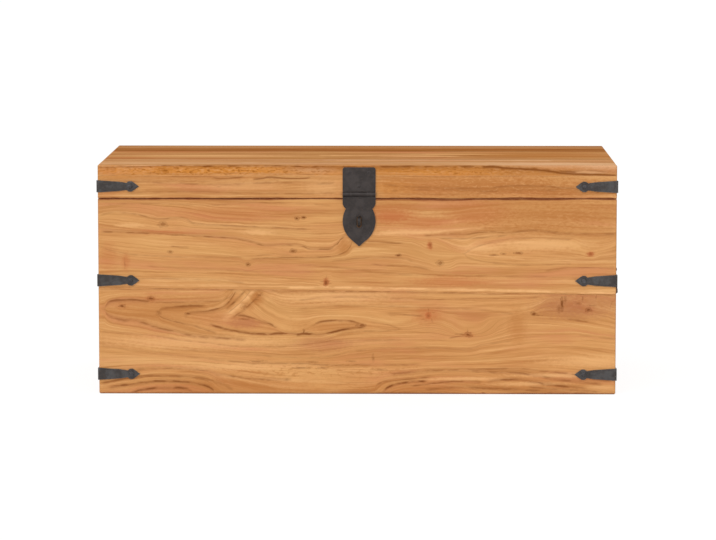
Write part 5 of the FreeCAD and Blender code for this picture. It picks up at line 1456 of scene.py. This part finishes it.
eye = {
    "spacing": 50, "outer": 5.8, "inner": 3.05, "halfWidth": 3.0, "sides": 24,
    # the ring's section: out from the bore, in from the rim, each with its share of the half width
    "bore": ((0, 0.85), (0.3, 0.97)), "rim": ((1.0, 1.0), (0.3, 0.8), (0, 0.3)),
    "leg": (3.0, 2.5), "legSteps": ((-wallThick - 1.6, 1.0), (1.0, 1.0), (2.6, 0.96)),
    # half width, rise and cut corner, then shares of the width and the rise at each step
    "collar": (9, 2.3, 1.4), "collarSteps": ((1.0, 0.0), (1.0, 0.5), (0.9, 0.9), (0.55, 1.0)),
    "peen": (4.9, 2, 1.6), "peenSteps": ((1.0, 0.0), (1.0, 0.35), (0.82, 0.8), (0.45, 1.0)),
    "wear": 0.25, "wornShare": 0.8, "seed": 31,
}


def squareStack(centre, outward, size, steps):
    # square rings with cut corners, narrower as they rise
    out, across, up = planeFrame(outward)
    rings = []
    for share, level in steps:
        half, corner, rise = size[0] * mm * share, size[2] * mm * share, size[1] * mm * level
        keep = half - corner
        spots = (
            (half, -keep), (half, keep), (keep, half), (-keep, half), (-half, keep), (-half, -keep), (-keep, -half),
            (keep, -half))
        rings.append([centre + across * a + up * b + out * rise for a, b in spots])
    return rings


def wornCorner(point, centre, ways, chance):
    # moved a little towards the middle, as hammering leaves it
    for way in ways:
        outward = 1 if (point - centre).dot(way) > 0 else -1
        point = point + way * (chance.uniform(-eye["wear"], 0.0) * outward * mm)
    return point


def addEye(bm, side, y, chance):
    ways = planeFrame((side, 0, 0))[1:]
    foot = onEnd(side, 0, y, handle["height"])
    collar = squareStack(foot, (side, 0, 0), eye["collar"], eye["collarSteps"])
    for ring, (share, level) in zip(collar, eye["collarSteps"]):
        if share > eye["wornShare"]:
            ring[:] = [wornCorner(point, foot, ways, chance) for point in ring]
    stackRings(bm, collar)
    pivot = onEnd(side, handle["stand"], y, handle["height"])
    section = [(eye["inner"] + off, -width) for off, width in eye["bore"]]
    section += [(eye["outer"] - off, -width) for off, width in eye["rim"]]
    section += [(reach, -width) for reach, width in reversed(section)]
    rings = []
    for k in range(eye["sides"]):
        turn = 2 * math.pi * k / eye["sides"]
        spoke = Vector((math.cos(turn), 0, math.sin(turn)))
        wide = Vector((0, eye["halfWidth"], 0))
        rings.append([pivot + (spoke * reach + wide * width) * mm for reach, width in section])
    stackRings(bm, rings, closed=True)
    legWide, legTall = eye["leg"]
    leg = []
    for stand, share in eye["legSteps"]:
        spot = onEnd(side, stand, y, handle["height"])
        corners = ((-1, -1), (1, -1), (1, 1), (-1, 1))
        leg.append([spot + Vector((0, a * legWide, b * legTall)) * (share * mm) for a, b in corners])
    stackRings(bm, leg)
    inside = onEnd(side, -wallThick, y, handle["height"])
    stackRings(bm, squareStack(inside, (-side, 0, 0), eye["peen"], eye["peenSteps"]))


def addEyes(side, name, replaced):
    chance = random.Random(eye["seed"] + side)
    bm = bmesh.new()
    for y in (-eye["spacing"], eye["spacing"]):
        addEye(bm, side, y, chance)
    addPiece(name, bm, "box", [replaced], rodIron, edge="eye")


addBail(1, "rightHandleBar", "right_handle", "right_handle_bail")
addBail(-1, "leftHandleBar", "left_handle", "left_handle_bail")
addEyes(1, "rightHandleEyes", "right_handle_eyes")
addEyes(-1, "leftHandleEyes", "left_handle_eyes")
print("forged pieces made")


# floor, world and lamps

studio = {
    "floorSize": 120.0, "floorTone": shade(232, 231, 229), "floorGlow": 1.1, "glowShare": 0.8,
    "worldLight": 0.62, "worldSeen": 1.0,
    # sun lamps: strength, tilt and spread in degrees
    "softLamp": (1.75, (60, 0, -18), 80),
    "fillLamp": (0.75, (66, 0, 152), 80),
}


def seenDirectly(tree):
    # 1 for what the camera, a mirror or glass looks at, 0 for what only lights the chest
    rays = addNode(tree, "ShaderNodeLightPath")
    kinds = ("Camera", "Glossy", "Transmission")
    camera, glossy, through = (Wire(rays.outputs["Is %s Ray" % kind]) for kind in kinds)
    return calc("MAXIMUM", calc("MAXIMUM", camera, glossy), through)


def addFloor():
    mesh = bpy.data.meshes.new("floor")
    half = studio["floorSize"] / 2
    mesh.from_pydata([(-half, -half, 0), (half, -half, 0), (half, half, 0), (-half, half, 0)], [], [(0, 1, 2, 3)])
    floor = bpy.data.objects.new("studioFloor", mesh)
    scene.collection.objects.link(floor)
    material, tree = newMaterial("paleFloor")
    paint = addNode(tree, "ShaderNodeBsdfDiffuse")
    feed(paint.inputs["Color"], studio["floorTone"])
    glow = addNode(tree, "ShaderNodeEmission")
    feed(glow.inputs["Strength"], studio["floorGlow"])
    blend = addNode(tree, "ShaderNodeMixShader")
    glowing = seenDirectly(tree) * studio["glowShare"]
    for socket, value in zip(blend.inputs, (glowing, Wire(paint.outputs[0]), Wire(glow.outputs[0]))):
        feed(socket, value)
    feed(addNode(tree, "ShaderNodeOutputMaterial").inputs["Surface"], Wire(blend.outputs[0]))
    mesh.materials.append(material)


def addWorld():
    world = bpy.data.worlds.new("studioWorld")
    scene.world = world
    world.use_nodes = True
    tree = world.node_tree
    tree.nodes.clear()
    light = addNode(tree, "ShaderNodeBackground")
    seen, unseen = studio["worldSeen"], studio["worldLight"]
    strength = calc("MULTIPLY_ADD", seenDirectly(tree), seen - unseen, unseen)
    feedAll(light, {"Color": (1, 1, 1, 1), "Strength": strength})
    feed(addNode(tree, "ShaderNodeOutputWorld").inputs["Surface"], Wire(light.outputs[0]))


def addLamp(name):
    strength, tilt, spread = studio[name]
    data = bpy.data.lights.new(name, "SUN")
    data.energy = strength
    data.angle = math.radians(spread)
    lamp = bpy.data.objects.new(name, data)
    lamp.rotation_euler = [math.radians(angle) for angle in tilt]
    scene.collection.objects.link(lamp)


addFloor()
addWorld()
addLamp("softLamp")
addLamp("fillLamp")
scene.view_settings.view_transform = "Standard"
print("studio set")
